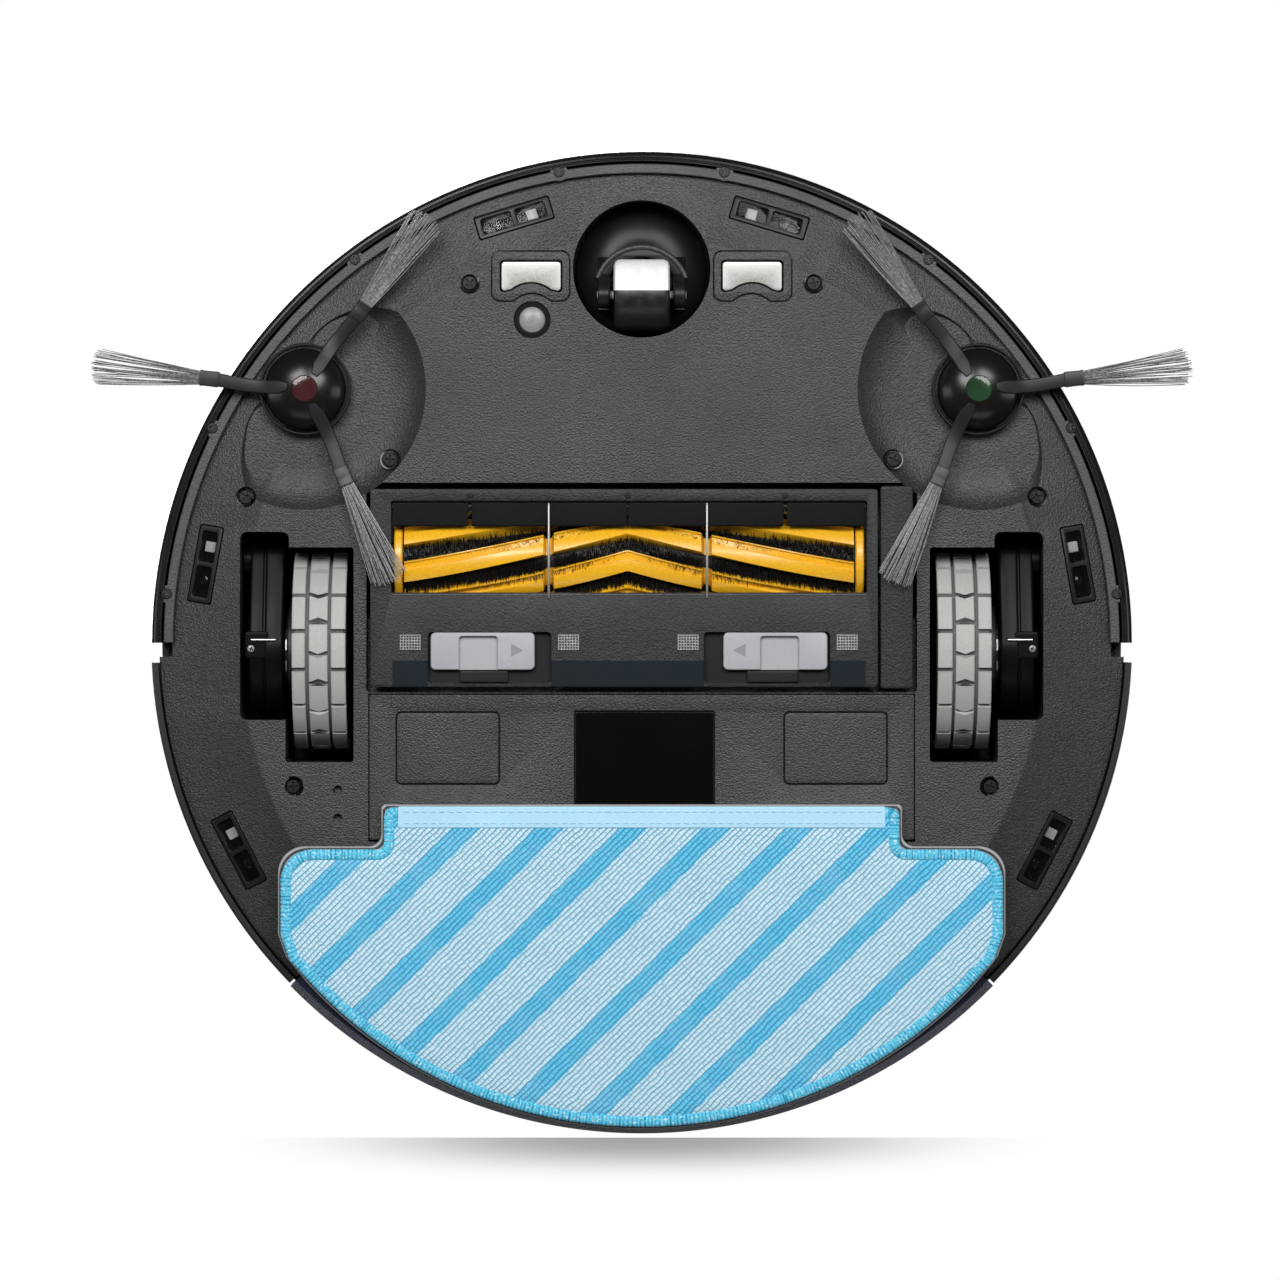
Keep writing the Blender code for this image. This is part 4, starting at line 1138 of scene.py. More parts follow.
def make_two_tone():
    """White on the half of the caster wheel that faces the front at rest, black on the other."""
    tree, shader = new_material("caster_two_tone")
    coord = added(tree, "TexCoord")
    split = added(tree, "SeparateXYZ")
    tree.links.new(coord.outputs["Object"], split.inputs[0])
    front = ranged(tree, split.outputs["Y"], 1, 0, CASTER_WHEEL.y - 0.0014, CASTER_WHEEL.y - 0.0010)
    scuff = ranged(tree, noise(tree, 0.003, 4), 0, 1, 0.45, 0.75)
    white = blended(tree, scuff, (0.92, 0.92, 0.92), (0.8, 0.8, 0.79))
    tree.links.new(blended(tree, front, (0.012, 0.012, 0.012), white), shader.inputs["Base Color"])
    tree.links.new(ranged(tree, scuff, 0.3, 0.5, 0, 1), shader.inputs["Roughness"])
    bumped(tree, shader, [(noise(tree, 0.0006, 2), 0.00001, 0.2)])


# Drive wheels


def arm_outline(shrink=0.0):
    pivot, wheel = (-0.029, 0.030), (TYRES["left"][0].y, TYRES["left"][0].z)
    return arc(pivot, 0.007 - shrink, 112, 262, 16) + arc(wheel, 0.0238 - shrink, 262, 472, 48)


def make_arm(name, side):
    """A drive module: two gearbox shells, a lug with its screw, and the pivot boss."""
    low, high = pair(side, 0.1278, 0.1345)
    inner = plate("arm_inner", [arm_outline()], low, high, 0.0009, UPRIGHT)
    low, high = pair(side, 0.1348, 0.140)
    outer = plate("arm_outer", [arm_outline(0.0006)], low, high, 0.0009, UPRIGHT)
    pivot = rod("arm_boss", 0.006, (side * 0.1395, -0.029, 0.030), (side * 0.1424, -0.029, 0.030), 32)
    seam = plate("arm_seam", [arm_outline(0.0012)], *pair(side, 0.1340, 0.1352), 0, UPRIGHT)
    lug = plate("arm_lug", [rounded(*lug_span(side), 0.0012)], 0.0120, 0.0190, 0.0006)
    arm = joined(f"arm_{name}", [inner, outer, pivot, seam, lug], 40)
    dress(arm, f"wheel_arm_{name}", "arm_black", "satin_black", [f"gearbox_{name}"])
    spot = Matrix.Translation((side * 0.1392, 0.0026, 0.0120))
    make_screw(f"arm_screw_{name}", f"wheel_arm_{name}", spot, 0.0013, "steel")
    pin = rod(
        f"arm_pin_{name}", 0.0005, (side * 0.1305, -0.0005, 0.0114), (side * 0.1392, -0.0005, 0.0114), 12,
    )
    dress(pin, f"wheel_arm_{name}", "steel", "steel")


def lug_span(side):
    low, high = pair(side, 0.1330, 0.1415)
    return (low, -0.0036), (high, 0.0062)


def make_tyre(name, side):
    """Three rows of tread blocks: long side blocks, and a middle row of pointed and notched blocks."""
    middle, size = TYRES[name]
    radius, root = size.z / 2, size.z / 2 - 0.0017
    # The root between the tread blocks is painted dark grey, as painted shade in the grooves.
    base = turned(
        f"tyre_root_{name}",
        [
            (root, 0.0086), (root, -0.0086), (root - 0.0012, -0.0093), (0.0284, -0.0093), (0.0284, 0.0093),
            (root - 0.0012, 0.0093),
        ],
        120, middle, (0, math.pi / 2, 0),
    )
    outward(base)
    dress(base, f"drive_wheel_{name}", "tyre_groove", "tyre_grey")
    bm = bmesh.new()
    for x0, x1 in ((-0.00955, -0.0043), (0.0048, 0.00955)):
        add_side_blocks(bm, sorted((side * x0, side * x1)), root - 0.0005, radius)
    add_middle_blocks(bm, sorted((side * -0.0032, side * 0.0035)), root - 0.0005, radius)
    bmesh.ops.recalc_face_normals(bm, faces=bm.faces)
    blocks = new_object(f"tyre_tread_{name}", bm, 25)
    blocks.location = middle
    dress(blocks, f"drive_wheel_{name}", "tyre_grey", "tyre_grey", [f"tyre_{name}"])


TREAD_GAP = 0.0008


def add_side_blocks(bm, across, low, high):
    """Sixteen long blocks round one shoulder, each in short steps so that its top is round."""
    pitch, gap, steps = math.radians(22.5), TREAD_GAP / high, 5
    for k in range(16):
        start, end = math.radians(11.25) + k * pitch + gap, math.radians(11.25) + (k + 1) * pitch - gap
        angles = [start + (end - start) * i / steps for i in range(steps + 1)]
        add_slab(bm, angles, angles, across, low, high)


def add_middle_blocks(bm, across, low, high):
    """Twenty blocks, pointed at both ends and notched at both ends by turns."""
    pitch, gap, point = math.radians(36), TREAD_GAP / high, 0.0011 / high
    for k in range(10):
        vee, notch = math.radians(1.6) + k * pitch, math.radians(19.6) + k * pitch
        for start, end, lean in ((vee + gap, notch - gap, 1), (notch + gap, vee + pitch - gap, -1)):
            steps = 4
            edges = [start + (end - start) * i / steps for i in range(steps + 1)]
            middles = list(edges)
            middles[0] += lean * point
            middles[-1] -= lean * point
            add_slab(bm, edges, middles, across, low, high)


def add_slab(bm, edges, middles, across, low, high, round_by=0.0005):
    """A block round part of the tyre: rows of angles at its two edges and along its middle."""
    x0, x1 = across
    half = (x0 + x1) / 2
    columns = (
        (x0, low, edges), (x0, high - round_by, edges), (x0 + round_by * 0.4, high - round_by * 0.3, edges),
        (x0 + round_by, high, edges), (half, high, middles), (x1 - round_by, high, edges),
        (x1 - round_by * 0.4, high - round_by * 0.3, edges), (x1, high - round_by, edges), (x1, low, edges),
    )
    grid = []
    for x, radius, angles in columns:
        grid.append([bm.verts.new((x, radius * math.sin(a), -radius * math.cos(a))) for a in angles])
    skin(bm, grid, around=False)
    for end in (0, -1):
        bm.faces.new([column[end] for column in grid])


def make_hub(name, side):
    """A drive wheel's disc and the collar towards its gearbox."""
    middle, size = TYRES[name]
    half = size.x / 2
    disc = [
        (0.0281, -half + 0.0004), (0.0276, -half), (0.0040, -half), (0.0040, -half + 0.0022),
        (0.0140, -half + 0.0030), (0.0140, half - 0.0005), (0.0145, half), (0.0276, half),
        (0.0281, half - 0.0004),
    ]
    hub = outward(turned(f"hub_{name}", disc, 96, middle, (0, side * math.pi / 2, 0)))
    dress(hub, f"drive_wheel_{name}", "hub_grey", "hub_grey", [f"wheel_hub_{name}"])
    collar = turned(
        f"hub_collar_{name}",
        [
            (0.0150, half + 0.0026), (0.0155, half + 0.0022), (0.0155, half), (0.0135, half),
            (0.0135, half + 0.0026),
        ],
        64, middle, (0, side * math.pi / 2, 0),
    )
    dress(outward(collar), f"drive_wheel_{name}", "ring_grey", "hub_grey")


# Side brushes

BRUSH_ANGLES = (-6, 114, 234)
DOME_R = 0.0145
ARM_HEIGHTS = (
    (0.0062, 0.0031), (0.0095, 0.0038), (0.0130, 0.0055), (0.0175, 0.0068), (0.0225, 0.0066),
    (0.0270, 0.0057), (0.0315, 0.0050),
)


def make_side_brush(name, side, rng):
    """A side brush: a dome with a tinted cap, and three sprung arms with tufts."""
    hub = [(0.0060, 0.0150), (0.0060, 0.0118), (0.0135, 0.0118), (0.0144, 0.0114)]
    for k in range(13):
        radius = DOME_R * math.cos(math.radians(71 * k / 12))
        hub.append(
            (radius, 0.0106 - 0.0080 * math.sin(math.radians(71 * k / 12)) / math.sin(math.radians(71))),
        )
    hub += [(0.0046, 0.0040), (0, 0.0040), (0, 0.0085), (0.0028, 0.0085), (0.0028, 0.0150)]
    centre = Vector((side * HUBS["left"].x, HUBS["left"].y, 0))
    dome = turned(f"brush_dome_{name}", hub, 96, centre, (0, 0, 0), 50)
    body = f"side_brush_{name}"
    dress(dome, body, "brush_dome", "satin_black", [f"side_brush_{name}"])
    cap = [
        (0, 0.0047), (0.0046, 0.0047), (0.0048, 0.0042), (0.0048, 0.0030), (0.0044, 0.0026),
        (0.0030, 0.0024), (0, 0.0023),
    ]
    tint = "cap_green" if side > 0 else "cap_red"
    dress(turned(f"brush_cap_{name}", cap, 64, centre), body, tint, tint)
    for i, angle in enumerate(BRUSH_ANGLES):
        spin = angle if side > 0 else 180 - angle
        place = Matrix.Translation(centre) @ Matrix.Rotation(math.radians(spin), 4, "Z")
        make_brush_arm(f"{name}_{i}", body, place, side)
        make_tuft(f"brush_tuft_{name}_{i}", body, place, rng)


def make_brush_arm(tag, body, place, side):
    """A flat spring arm that steps off the dome and ends in a ferrule."""
    sections = []
    for k, (reach, height) in enumerate(ARM_HEIGHTS):
        width = 0.0014 if k == 0 else 0.0024
        sway = side * 0.0009 * math.sin(math.pi * k / 6)
        sections.append((reach, sway, height, width, 0.0009))
    arm = lofted_bar(f"brush_arm_{tag}", sections, place)
    dress(arm, body, "brush_arm", "satin_black")
    sections = [
        (0.0305, 0, 0.00495, 0.0026, 0.0013), (0.0310, 0, 0.00492, 0.0028, 0.0015),
        (0.0340, 0, 0.0047, 0.0027, 0.0014), (0.0362, 0, 0.0045, 0.0027, 0.0014),
        (0.0368, 0, 0.0044, 0.0029, 0.0015), (0.0373, 0, 0.0043, 0.0027, 0.0014),
    ]
    ferrule = lofted_bar(f"brush_ferrule_{tag}", sections, place)
    dress(ferrule, body, "hub_grey", "hub_grey")


def lofted_bar(name, sections, place):
    """A bar of rounded-rectangle sections, each (reach, sway, height, half width, half thickness)."""
    bm = bmesh.new()
    rings = []
    for reach, sway, height, wide, thick in sections:
        ring = rounded((-wide, -thick), (wide, thick), min(0.0005, thick * 0.6), 3)
        rings.append([bm.verts.new(place @ Vector((reach, sway + y, height + z))) for y, z in ring])
    skin(bm, rings)
    bm.faces.new(rings[0])
    bm.faces.new(rings[-1])
    bmesh.ops.recalc_face_normals(bm, faces=bm.faces)
    return new_object(name, bm, 35)


def make_tuft(name, body, place, rng):
    """Strands spreading from the ferrule, each bowed a little and thinner to its tip."""
    bm = bmesh.new()
    start, end = 0.0365, 0.0762
    count = 44
    for k in range(count):
        side_at = 0.0022 * (2 * (k + rng.uniform(-0.6, 0.6)) / (count - 1) - 1)
        lift = rng.uniform(-0.0006, 0.0006)
        spread = side_at * 2.9 + rng.uniform(-0.0007, 0.0007)
        reach = end - rng.uniform(0, 0.0016) - 0.0022 * abs(side_at / 0.0022) ** 2
        bow = rng.uniform(-0.0006, 0.0006)
        points = []
        for i in range(9):
            t = i / 8
            along = start + (reach - start) * t
            across = side_at + (spread - side_at) * t + bow * math.sin(math.pi * t)
            height = 0.0043 - 0.0029 * t + lift * (1 - 0.4 * t)
            points.append(place @ Vector((along, across, height)))
        add_strand(bm, points, 0.00019, 0.00012)
    obj = new_object(name, bm, 60)
    dress(obj, body, "bristle_grey", "bristle_grey")


def add_strand(bm, points, thick, thin, sides=4):
    """Adds a thin tapering strand along points."""
    rings = []
    for i, at in enumerate(points):
        ahead = points[min(i + 1, len(points) - 1)] - points[max(i - 1, 0)]
        turn = Vector((0, 0, 1)).rotation_difference(ahead)
        radius = thick + (thin - thick) * i / (len(points) - 1)
        ring = []
        for k in range(sides):
            a = 2 * math.pi * k / sides
            ring.append(bm.verts.new(at + turn @ Vector((radius * math.cos(a), radius * math.sin(a), 0))))
        rings.append(ring)
    skin(bm, rings)
    bm.faces.new(list(reversed(rings[0])))
    bm.faces.new(rings[-1])


# Main roller

VEE_X = -0.005
RIB_COUNT = 8
RIB_START = math.radians(0.7)


def roller_point(x, angle, radius):
    return Vector((x, ROLLER.y + radius * math.sin(angle), ROLLER.z - radius * math.cos(angle)))


def vee_angle(x, phase):
    """The rib's angle from straight down at x, with the V's point at its middle."""
    away = abs(x - VEE_X) / MM
    return phase + math.radians(0.95 * away - 0.0026 * away * away)


def row_lean(x):
    """How far a bristle row strays from the middle between two ribs."""
    away = abs(x - VEE_X) / MM
    return math.radians(9) * math.sin(math.pi * min(away, 60) / 60)


def make_roller():
    """The roller's drum and yellow end discs, its ribs and its bristles."""
    right, left = ROLLER_ENDS
    middle, half = (left + right) / 2, (left - right) / 2
    core = [(0.0132, half - 0.003), (0.0132, -half + 0.003), (0, -half + 0.003), (0, half - 0.003)]
    drum = turned("roller_drum", core, 96, (middle, ROLLER.y, ROLLER.z), (0, math.pi / 2, 0))
    dress(outward(drum), "roller", "bristle_black", "roller_yellow")
    discs = []
    for _, side in SIDES:
        x = middle + side * (half - 0.0015)
        rim = [
            (0.0160, -0.0015), (0.0165, -0.0010), (0.0165, 0.0010), (0.0160, 0.0015), (0.0030, 0.0015),
            (0.0030, -0.0015),
        ]
        discs.append(turned("disc", rim, 96, (x, ROLLER.y, ROLLER.z), (0, side * math.pi / 2, 0)))
        discs.append(
            rod("stub", 0.003, (x, ROLLER.y, ROLLER.z), (x + side * 0.0058, ROLLER.y, ROLLER.z), 24),
        )
    ends = joined("roller_ends", [outward(d) for d in discs], 30)
    dress(ends, "roller", "roller_yellow", "roller_yellow", ["roller_core"])
    make_ribs()
    make_roller_bristles()


def wire_gap(x):
    return min(abs(x - wire) for wire in WIRES_X)


RIB_SECTION = (
    (-13.0, 0.0130), (-12.9, 0.0164), (-12.1, 0.0175), (-10.9, 0.0175), (-9.8, 0.0166), (-3.6, 0.0163),
    (
        -2.6, 0.0168,
    ), (-1.8, 0.0176), (3.0, 0.0178), (9.0, 0.0178), (12.1, 0.0177), (12.9, 0.0170), (13.1, 0.0130),
)


def make_ribs():
    """Twin rubber ribs in wide Vs, cut back where the guard's wires run."""
    right, left = ROLLER_ENDS[0] + 0.0036, ROLLER_ENDS[1] - 0.0036
    bm = bmesh.new()
    count = 168
    for k in range(RIB_COUNT):
        phase = RIB_START + 2 * math.pi * k / RIB_COUNT
        rows = []
        for i in range(count + 1):
            x = right + (left - right) * i / count
            top = 0.0141 if wire_gap(x) < 0.0016 else ROLLER_R - 0.0001
            middle = vee_angle(x, phase)
            ring = [roller_point(x, middle + math.radians(a), min(r, top)) for a, r in RIB_SECTION]
            rows.append([bm.verts.new(p) for p in ring])
        skin(bm, rows)
        bm.faces.new(rows[0])
        bm.faces.new(rows[-1])
    bmesh.ops.recalc_face_normals(bm, faces=bm.faces)
    ribs = new_object("roller_ribs", bm, 40)
    dress(ribs, "roller", "roller_yellow", "roller_yellow", ["roller_brush"])


def make_roller_bristles():
    """Bristle rows between the ribs, along the same Vs."""
    rng = random.Random(5)
    right, left = ROLLER_ENDS[0] + 0.004, ROLLER_ENDS[1] - 0.004
    bm = bmesh.new()
    for k in range(RIB_COUNT):
        phase = RIB_START + 2 * math.pi * (k + 0.5) / RIB_COUNT
        x = right
        while x < left:
            top = 0.0139 if wire_gap(x) < 0.0018 else 0.0179
            for _ in range(10):
                angle = vee_angle(x, phase) + rng.uniform(-0.14, 0.14)
                lean = row_lean(x) + rng.uniform(-0.11, 0.11)
                reach = top - rng.uniform(0, 0.0010)
                foot = roller_point(x, angle, 0.0130)
                tip = roller_point(x + rng.uniform(-0.0006, 0.0006), angle + lean, reach)
                add_strand(bm, [foot, (foot + tip) / 2, tip], 0.00022, 0.0001, 3)
            x += 0.0007
    obj = new_object("roller_bristles", bm, 60)
    dress(obj, "roller", "bristle_black", "satin_black")


# Brush guard

PAD_PLACES = (-0.0822, -0.0260, 0.0165, 0.0730)


def make_guard():
    """The brush guard: a frame round the roller, recesses for the latches, a sloping lip and mesh pads."""
    low, high = GUARD_LOW, GUARD_HIGH
    outer = rounded((low.x, -0.0542), (high.x, 0.0163), 0.0015)
    mouth = rounded((-0.0889, -0.0498), (0.0799, -0.0172), 0.0006)
    sheet = plate("guard_sheet", [outer, mouth], low.z, low.z + 0.0022, 0.0004)
    cuts = [box("lip_relief", (-0.0888, -0.018, 0.0052), (0.0798, -0.0150, 0.02))]
    joins = []
    for x0, x1, y0, y1 in (
        (-0.0965, -0.0892, -0.0542, 0.0163),
        (0.0800, 0.0840, -0.0542, 0.0163),
        (-0.0962, 0.0837, -0.0541, -0.0499),
    ):
        joins.append(
            box("wall", (x0 + 0.0003, y0 + 0.0003, low.z + 0.0010), (x1 - 0.0003, y1 - 0.0003, high.z)),
        )
    latches = ((0.022, 0.067, 0.0375, 0.0555), (-0.076, -0.032, -0.0645, -0.0475))
    for x0, x1, t0, t1 in latches:
        outline = rounded((x0, -0.0034), (x1, 0.0150), 0.0016)
        cuts.append(plate("latch_recess", [outline], 0.002, low.z + 0.0034))
        joins.append(plate("latch_floor", [outline], low.z + 0.0032, low.z + 0.0042))
        joins.append(
            plate(
                "latch_tab", [rounded((t0, 0.0105), (t1, 0.0146), 0.0006)], low.z + 0.0012, low.z + 0.0038,
                0.0002,
            ),
        )
    floors = joins[-4:]
    sheet = carved(sheet, joins[:3], cuts, 30)
    dress(sheet, "chassis", "guard_black", "grained_black", ["guard_frame"])
    dress(joined("guard_recess", floors, 30), "chassis", "satin_black", "grained_black")
    front = [(-0.0887, -0.0492, 0.0043), (0.0797, -0.0492, 0.0043)]
    rail = tube("guard_rail", [(x, y + 0.0012, z + 0.0008) for x, y, z in front], 0.0009)
    dress(rail, "chassis", "satin_black", "grained_black")
    lip = tube("guard_lip", [(-0.0886, -0.0166, 0.0049), (0.0796, -0.0166, 0.0049)], 0.0008)
    dress(lip, "chassis", "ring_grey", "grained_black")
    slope = box("guard_slope", (-0.0885, 0.0068, low.z - 0.00025), (0.0795, 0.0160, low.z + 0.0006))
    cut_tools = [box("slope_cut", (x0, -0.01, 0), (x1, 0.02, 0.02)) for x0, x1, _, _ in latches]
    dress(carved(slope, (), cut_tools, 30), "chassis", "navy_plastic", "grained_black")
    for i, x in enumerate(PAD_PLACES):
        make_mesh_pad(f"guard_pad_{i}", x)
    for i, x in enumerate((-0.061, -0.005, 0.051)):
        spot = Matrix.Translation((x, -0.0519, low.z - 0.00005))
        make_screw(f"guard_screw_{i}", "chassis", spot, 0.0011)


def make_mesh_pad(name, x):
    """A small square of open mesh let into the guard."""
    base = plate(
        f"{name}_base", [rounded((x - 0.004, -0.0027), (x + 0.004, 0.0033), 0.0008)], GUARD_LOW.z - 0.0001,
        GUARD_LOW.z + 0.0006, 0.0001,
    )
    dress(base, "chassis", "mesh_dark", "latch_grey")
    parts = []
    for i in range(8):
        at = x - 0.0035 + 0.001 * i
        parts.append(
            rod(
                "wire", 0.00016, (at, -0.0024, GUARD_LOW.z - 0.0002), (at, 0.0030, GUARD_LOW.z - 0.0002), 8,
            ),
        )
    for i in range(6):
        at = -0.0022 + 0.001 * i
        parts.append(
            rod(
                "wire", 0.00016, (x - 0.0037, at, GUARD_LOW.z - 0.0003),
                (x + 0.0037, at, GUARD_LOW.z - 0.0003), 8,
            ),
        )
    dress(joined(name, parts, 30), "chassis", "mesh_grey", "latch_grey")


def make_flap():
    """The rubber strip in front of the roller, slit into flaps, with a bead along its edge."""
    low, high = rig.box("flap_strip")
    slits = ((-0.061, 0.0011), (-0.033, 0.0004), (-0.005, 0.0004), (0.023, 0.0004), (0.051, 0.0011))
    edges = [low.x] + [v for x, w in slits for v in (x - w / 2, x + w / 2)] + [high.x]
    flaps = []
    for x0, x1 in zip(edges[::2], edges[1::2]):
        flaps.append(plate("flap", [rounded((x0, low.y), (x1, high.y), 0.0004, 3)], low.z, high.z, 0.0002))
        bead = tube(
            "bead",
            [
                (x0 + 0.0003, high.y - 0.0006, low.z + 0.0003),
                (x1 - 0.0003, high.y - 0.0006, low.z + 0.0003),
            ],
            0.0005,
        )
        flaps.append(bead)
    dress(joined("guard_flaps", flaps, 40), "chassis", "flap_black", "satin_black", ["flap_strip"])


def make_wires():
    for name, x in zip(("left", "right"), WIRES_X):
        low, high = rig.box(f"guard_wire_{name}")
        z = (low.z + high.z) / 2
        points = [
            (x, low.y, z + 0.0006), (x, low.y + 0.0012, z), (x, high.y - 0.0012, z),
            (x, high.y, z + 0.0006),
        ]
        wire = tube(f"wire_{name}", points, 0.00045, 4)
        dress(wire, "chassis", "contact_silver", "steel", [f"guard_wire_{name}"])


def make_latch(name, span_x, cuts):
    """A sliding latch between two x, cut for its arrow (x, way it points) and for a finger (x, x)."""
    low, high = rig.box(f"guard_latch_{name}")
    x, tip, near, far = cuts
    outline = rounded((span_x[0], low.y), (span_x[1], high.y), 0.0018)
    hole = rounded((near, low.y + 0.0012), (far, high.y + 0.01), 0.0014)
    slide = plate(f"latch_{name}", [outline], low.z - 0.0002, high.z, 0.0006)
    tools = [plate("notch", [hole], 0.001, low.z + 0.0018)]
    mark = [(x - tip * 0.0019, 0.0009), (x - tip * 0.0019, 0.0055), (x + tip * 0.0025, 0.0032)]
    tools.append(plate("mark", [mark], 0.001, low.z + 0.0003))
    slide = carved(slide, (), tools, 30)
    dress(slide, f"latch_{name}", "latch_grey", "latch_grey", [f"guard_latch_{name}"])
    inset = plate(f"latch_mark_{name}", [mark], low.z - 0.0001, low.z + 0.0008)
    dress(inset, f"latch_{name}", "latch_mark", "latch_grey")


# Mop

CLOTH_INSET = 0.0013
STRIPE_SLOPE, STRIPE_PITCH, STRIPE_WIDE = 1.015, 0.0296, 0.0072
STRIPE_START = 0.0642


def mop_outline(inset, fine=1):
    """The mop plate's outline, drawn in by inset, its curves finer by a whole factor."""
    rim = 0.1733 - inset
    tab, front = 0.0925 - inset, 0.0579 + inset
    side, shoulder = 0.1292 - inset, 0.0728 + inset
    points = [(tab - 0.001, front), (tab, front + 0.001), (tab, shoulder - 0.0045)]
    points += arc((tab + 0.0045, shoulder - 0.0045), 0.0045, 180, 90, 4 * fine)[1:]
    points += arc((side - 0.0095, shoulder + 0.0095), 0.0095, -90, 0, 4 * fine)
    points += [(side, 0.104), (side - 0.0028, 0.112)]
    first = 44.5
    for i in range(12 * fine + 1):
        angle = first * (1 - i / (12 * fine))
        radius = rim - 0.0035 * (angle / first) ** 2
        points.append((radius * math.sin(math.radians(angle)), radius * math.cos(math.radians(angle))))
    return mirrored(points)


def inside(outline, x, y):
    found = False
    for (x0, y0), (x1, y1) in zip(outline, outline[1:] + outline[:1]):
        if (y0 > y) != (y1 > y) and x < (x1 - x0) * (y - y0) / (y1 - y0) + x0:
            found = not found
    return found


def outline_area(outline):
    total = sum(x0 * y1 - x1 * y0 for (x0, y0), (x1, y1) in zip(outline, outline[1:] + outline[:1]))
    return abs(total) / 2


def edge_distance(outline, x, y):
    best = 1.0
    for (x0, y0), (x1, y1) in zip(outline, outline[1:] + outline[:1]):
        dx, dy = x1 - x0, y1 - y0
        length = dx * dx + dy * dy
        t = 0.0 if length == 0 else max(0.0, min(1.0, ((x - x0) * dx + (y - y0) * dy) / length))
        best = min(best, math.hypot(x - x0 - t * dx, y - y0 - t * dy))
    return best


def cloth_height(x, y, away):
    """How far the cloth's underside stands off its plate: rounded at its edge, a little uneven inside."""
    swell = math.sin(
        x / 0.0061 + 1.3 * math.sin(y / 0.011),
    ) * math.sin(y / 0.0073 + 0.9 * math.sin(x / 0.017))
    return (0.00022 + 0.00018 * swell) * min(1.0, away / 0.0022)


def make_cloth():
    """The mop cloth: a terry sheet with ribs, on a fine grid cut to its outline."""
    cut = mop_outline(CLOTH_INSET, 3)
    face = mop_outline(CLOTH_INSET + 0.0030, 3)
    step = 0.0015
    points, kept = [], []
    for x, y in face:
        points.append(Vector((x, y)))
    count = len(face)
    edges = [(i, (i + 1) % count) for i in range(count)]
    x, reach = -0.126, 0.126
    while x < reach:
        y = 0.0605
        while y < 0.171:
            if inside(face, x, y) and edge_distance(face, x, y) > step * 0.6:
                points.append(Vector((x, y)))
            y += step
        x += step
    verts, _, faces, _, _, _ = delaunay_2d_cdt(points, edges, [], 1, 0.00001)
    bm = bmesh.new()
    for co in verts:
        away = edge_distance(face, co.x, co.y)
        kept.append(
            bm.verts.new(
                (co.x, co.y, 0.0009 - cloth_height(co.x, co.y, away) + 0.0004 * max(0, 1 - away / 0.0015)),
            ),
        )
    for face_points in faces:
        bm.faces.new([kept[i] for i in face_points])
    for f in bm.faces:
        if f.normal.z > 0:
            f.normal_flip()
    cloth = new_object("mop_towel", bm, 60)
    border, tape = make_border(), make_tape()
    dress(cloth, "mop", "terry_blue", "mop_blue", ["mop_cloth"])
    dress(border, "mop", "border_cyan", "mop_blue")
    for piece in tape:
        dress(piece, "mop", "tape_blue", "mop_blue")
    area = outline_area(cut)
    low_x, high_x = min(x for x, _ in cut), max(x for x, _ in cut)
    low_y, high_y = min(y for _, y in cut), max(y for _, y in cut)
    size = (high_x - low_x, high_y - low_y)
    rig.sheet(
        cloth, flat=size, held="laid", rests_on=["mop_plate_sheet"], area=area, with_pieces=[border, *tape],
    )


def make_border():
    """The overlocked edge: thread wound closely over the cloth's rim."""
    path = mop_outline(CLOTH_INSET + 0.0017, 3)
    dense = []
    for (x0, y0), (x1, y1) in zip(path, path[1:] + path[:1]):
        steps = max(1, int(math.hypot(x1 - x0, y1 - y0) / 0.0004))
        for i in range(steps):
            dense.append(Vector((x0 + (x1 - x0) * i / steps, y0 + (y1 - y0) * i / steps)))
    count = len(dense)
    rng = random.Random(8)
    bm = bmesh.new()
    stitch = bm.verts.layers.float.new("stitch")
    rings, sides = [], 10
    turns, pitch = 0.0, 0.0012
    for i, at in enumerate(dense):
        ahead = (dense[(i + 1) % count] - dense[i - 1]).normalized()
        out = Vector((ahead.y, -ahead.x))
        turns += (dense[i] - dense[i - 1]).length / pitch if i else 0
        if turns > 1:
            turns -= 1
            pitch = rng.uniform(0.0008, 0.0017)
        thread = math.sin(math.pi * turns) ** 0.5 if 0 < turns < 1 else 0
        half, tall = 0.0018 + 0.0003 * thread, 0.0010 + 0.0004 * thread
        ring = []
        for k in range(sides):
            a = 2 * math.pi * k / sides
            c, s = math.cos(a), math.sin(a)
            flat = math.copysign(abs(c) ** 0.7, c) * half
            vert = bm.verts.new(
                (at.x + out.x * flat, at.y + out.y * flat, 0.0019 + tall * math.copysign(abs(s) ** 0.8, s)),
            )
            # Each turn's crown, kept for the thread material's painted highlight and the painted shade beside it.
            vert[stitch] = thread
            ring.append(vert)
        rings.append(ring)
    skin(bm, [*rings, rings[0]])
    bmesh.ops.recalc_face_normals(bm, faces=bm.faces)
    return new_object("mop_border", bm, 60)


def make_tape():
    """The binding tape across the cloth's front edge, with two lines of stitches."""
    tape = plate(
        "mop_tape", [rounded((-0.0865, 0.0585), (0.0865, 0.0662), 0.0007)], 0.00025, 0.0016, 0.0004,
    )
    rng = random.Random(3)
    bm = bmesh.new()
    for y in (0.0604, 0.0645):
        x = -0.0845
        while x < 0.0845:
            dy = rng.uniform(-0.0001, 0.0001)
            points = [
                Vector((x, y + dy, 0.0004)), Vector((x + 0.0006, y + dy, 0.0001)),
                Vector((x + 0.0018, y - dy, 0.0001)), Vector((x + 0.0024, y - dy, 0.0004)),
            ]
            add_strand(bm, points, 0.0002, 0.0002, 5)
            x += 0.0031
    return [tape, new_object("mop_stitches", bm, 60)]


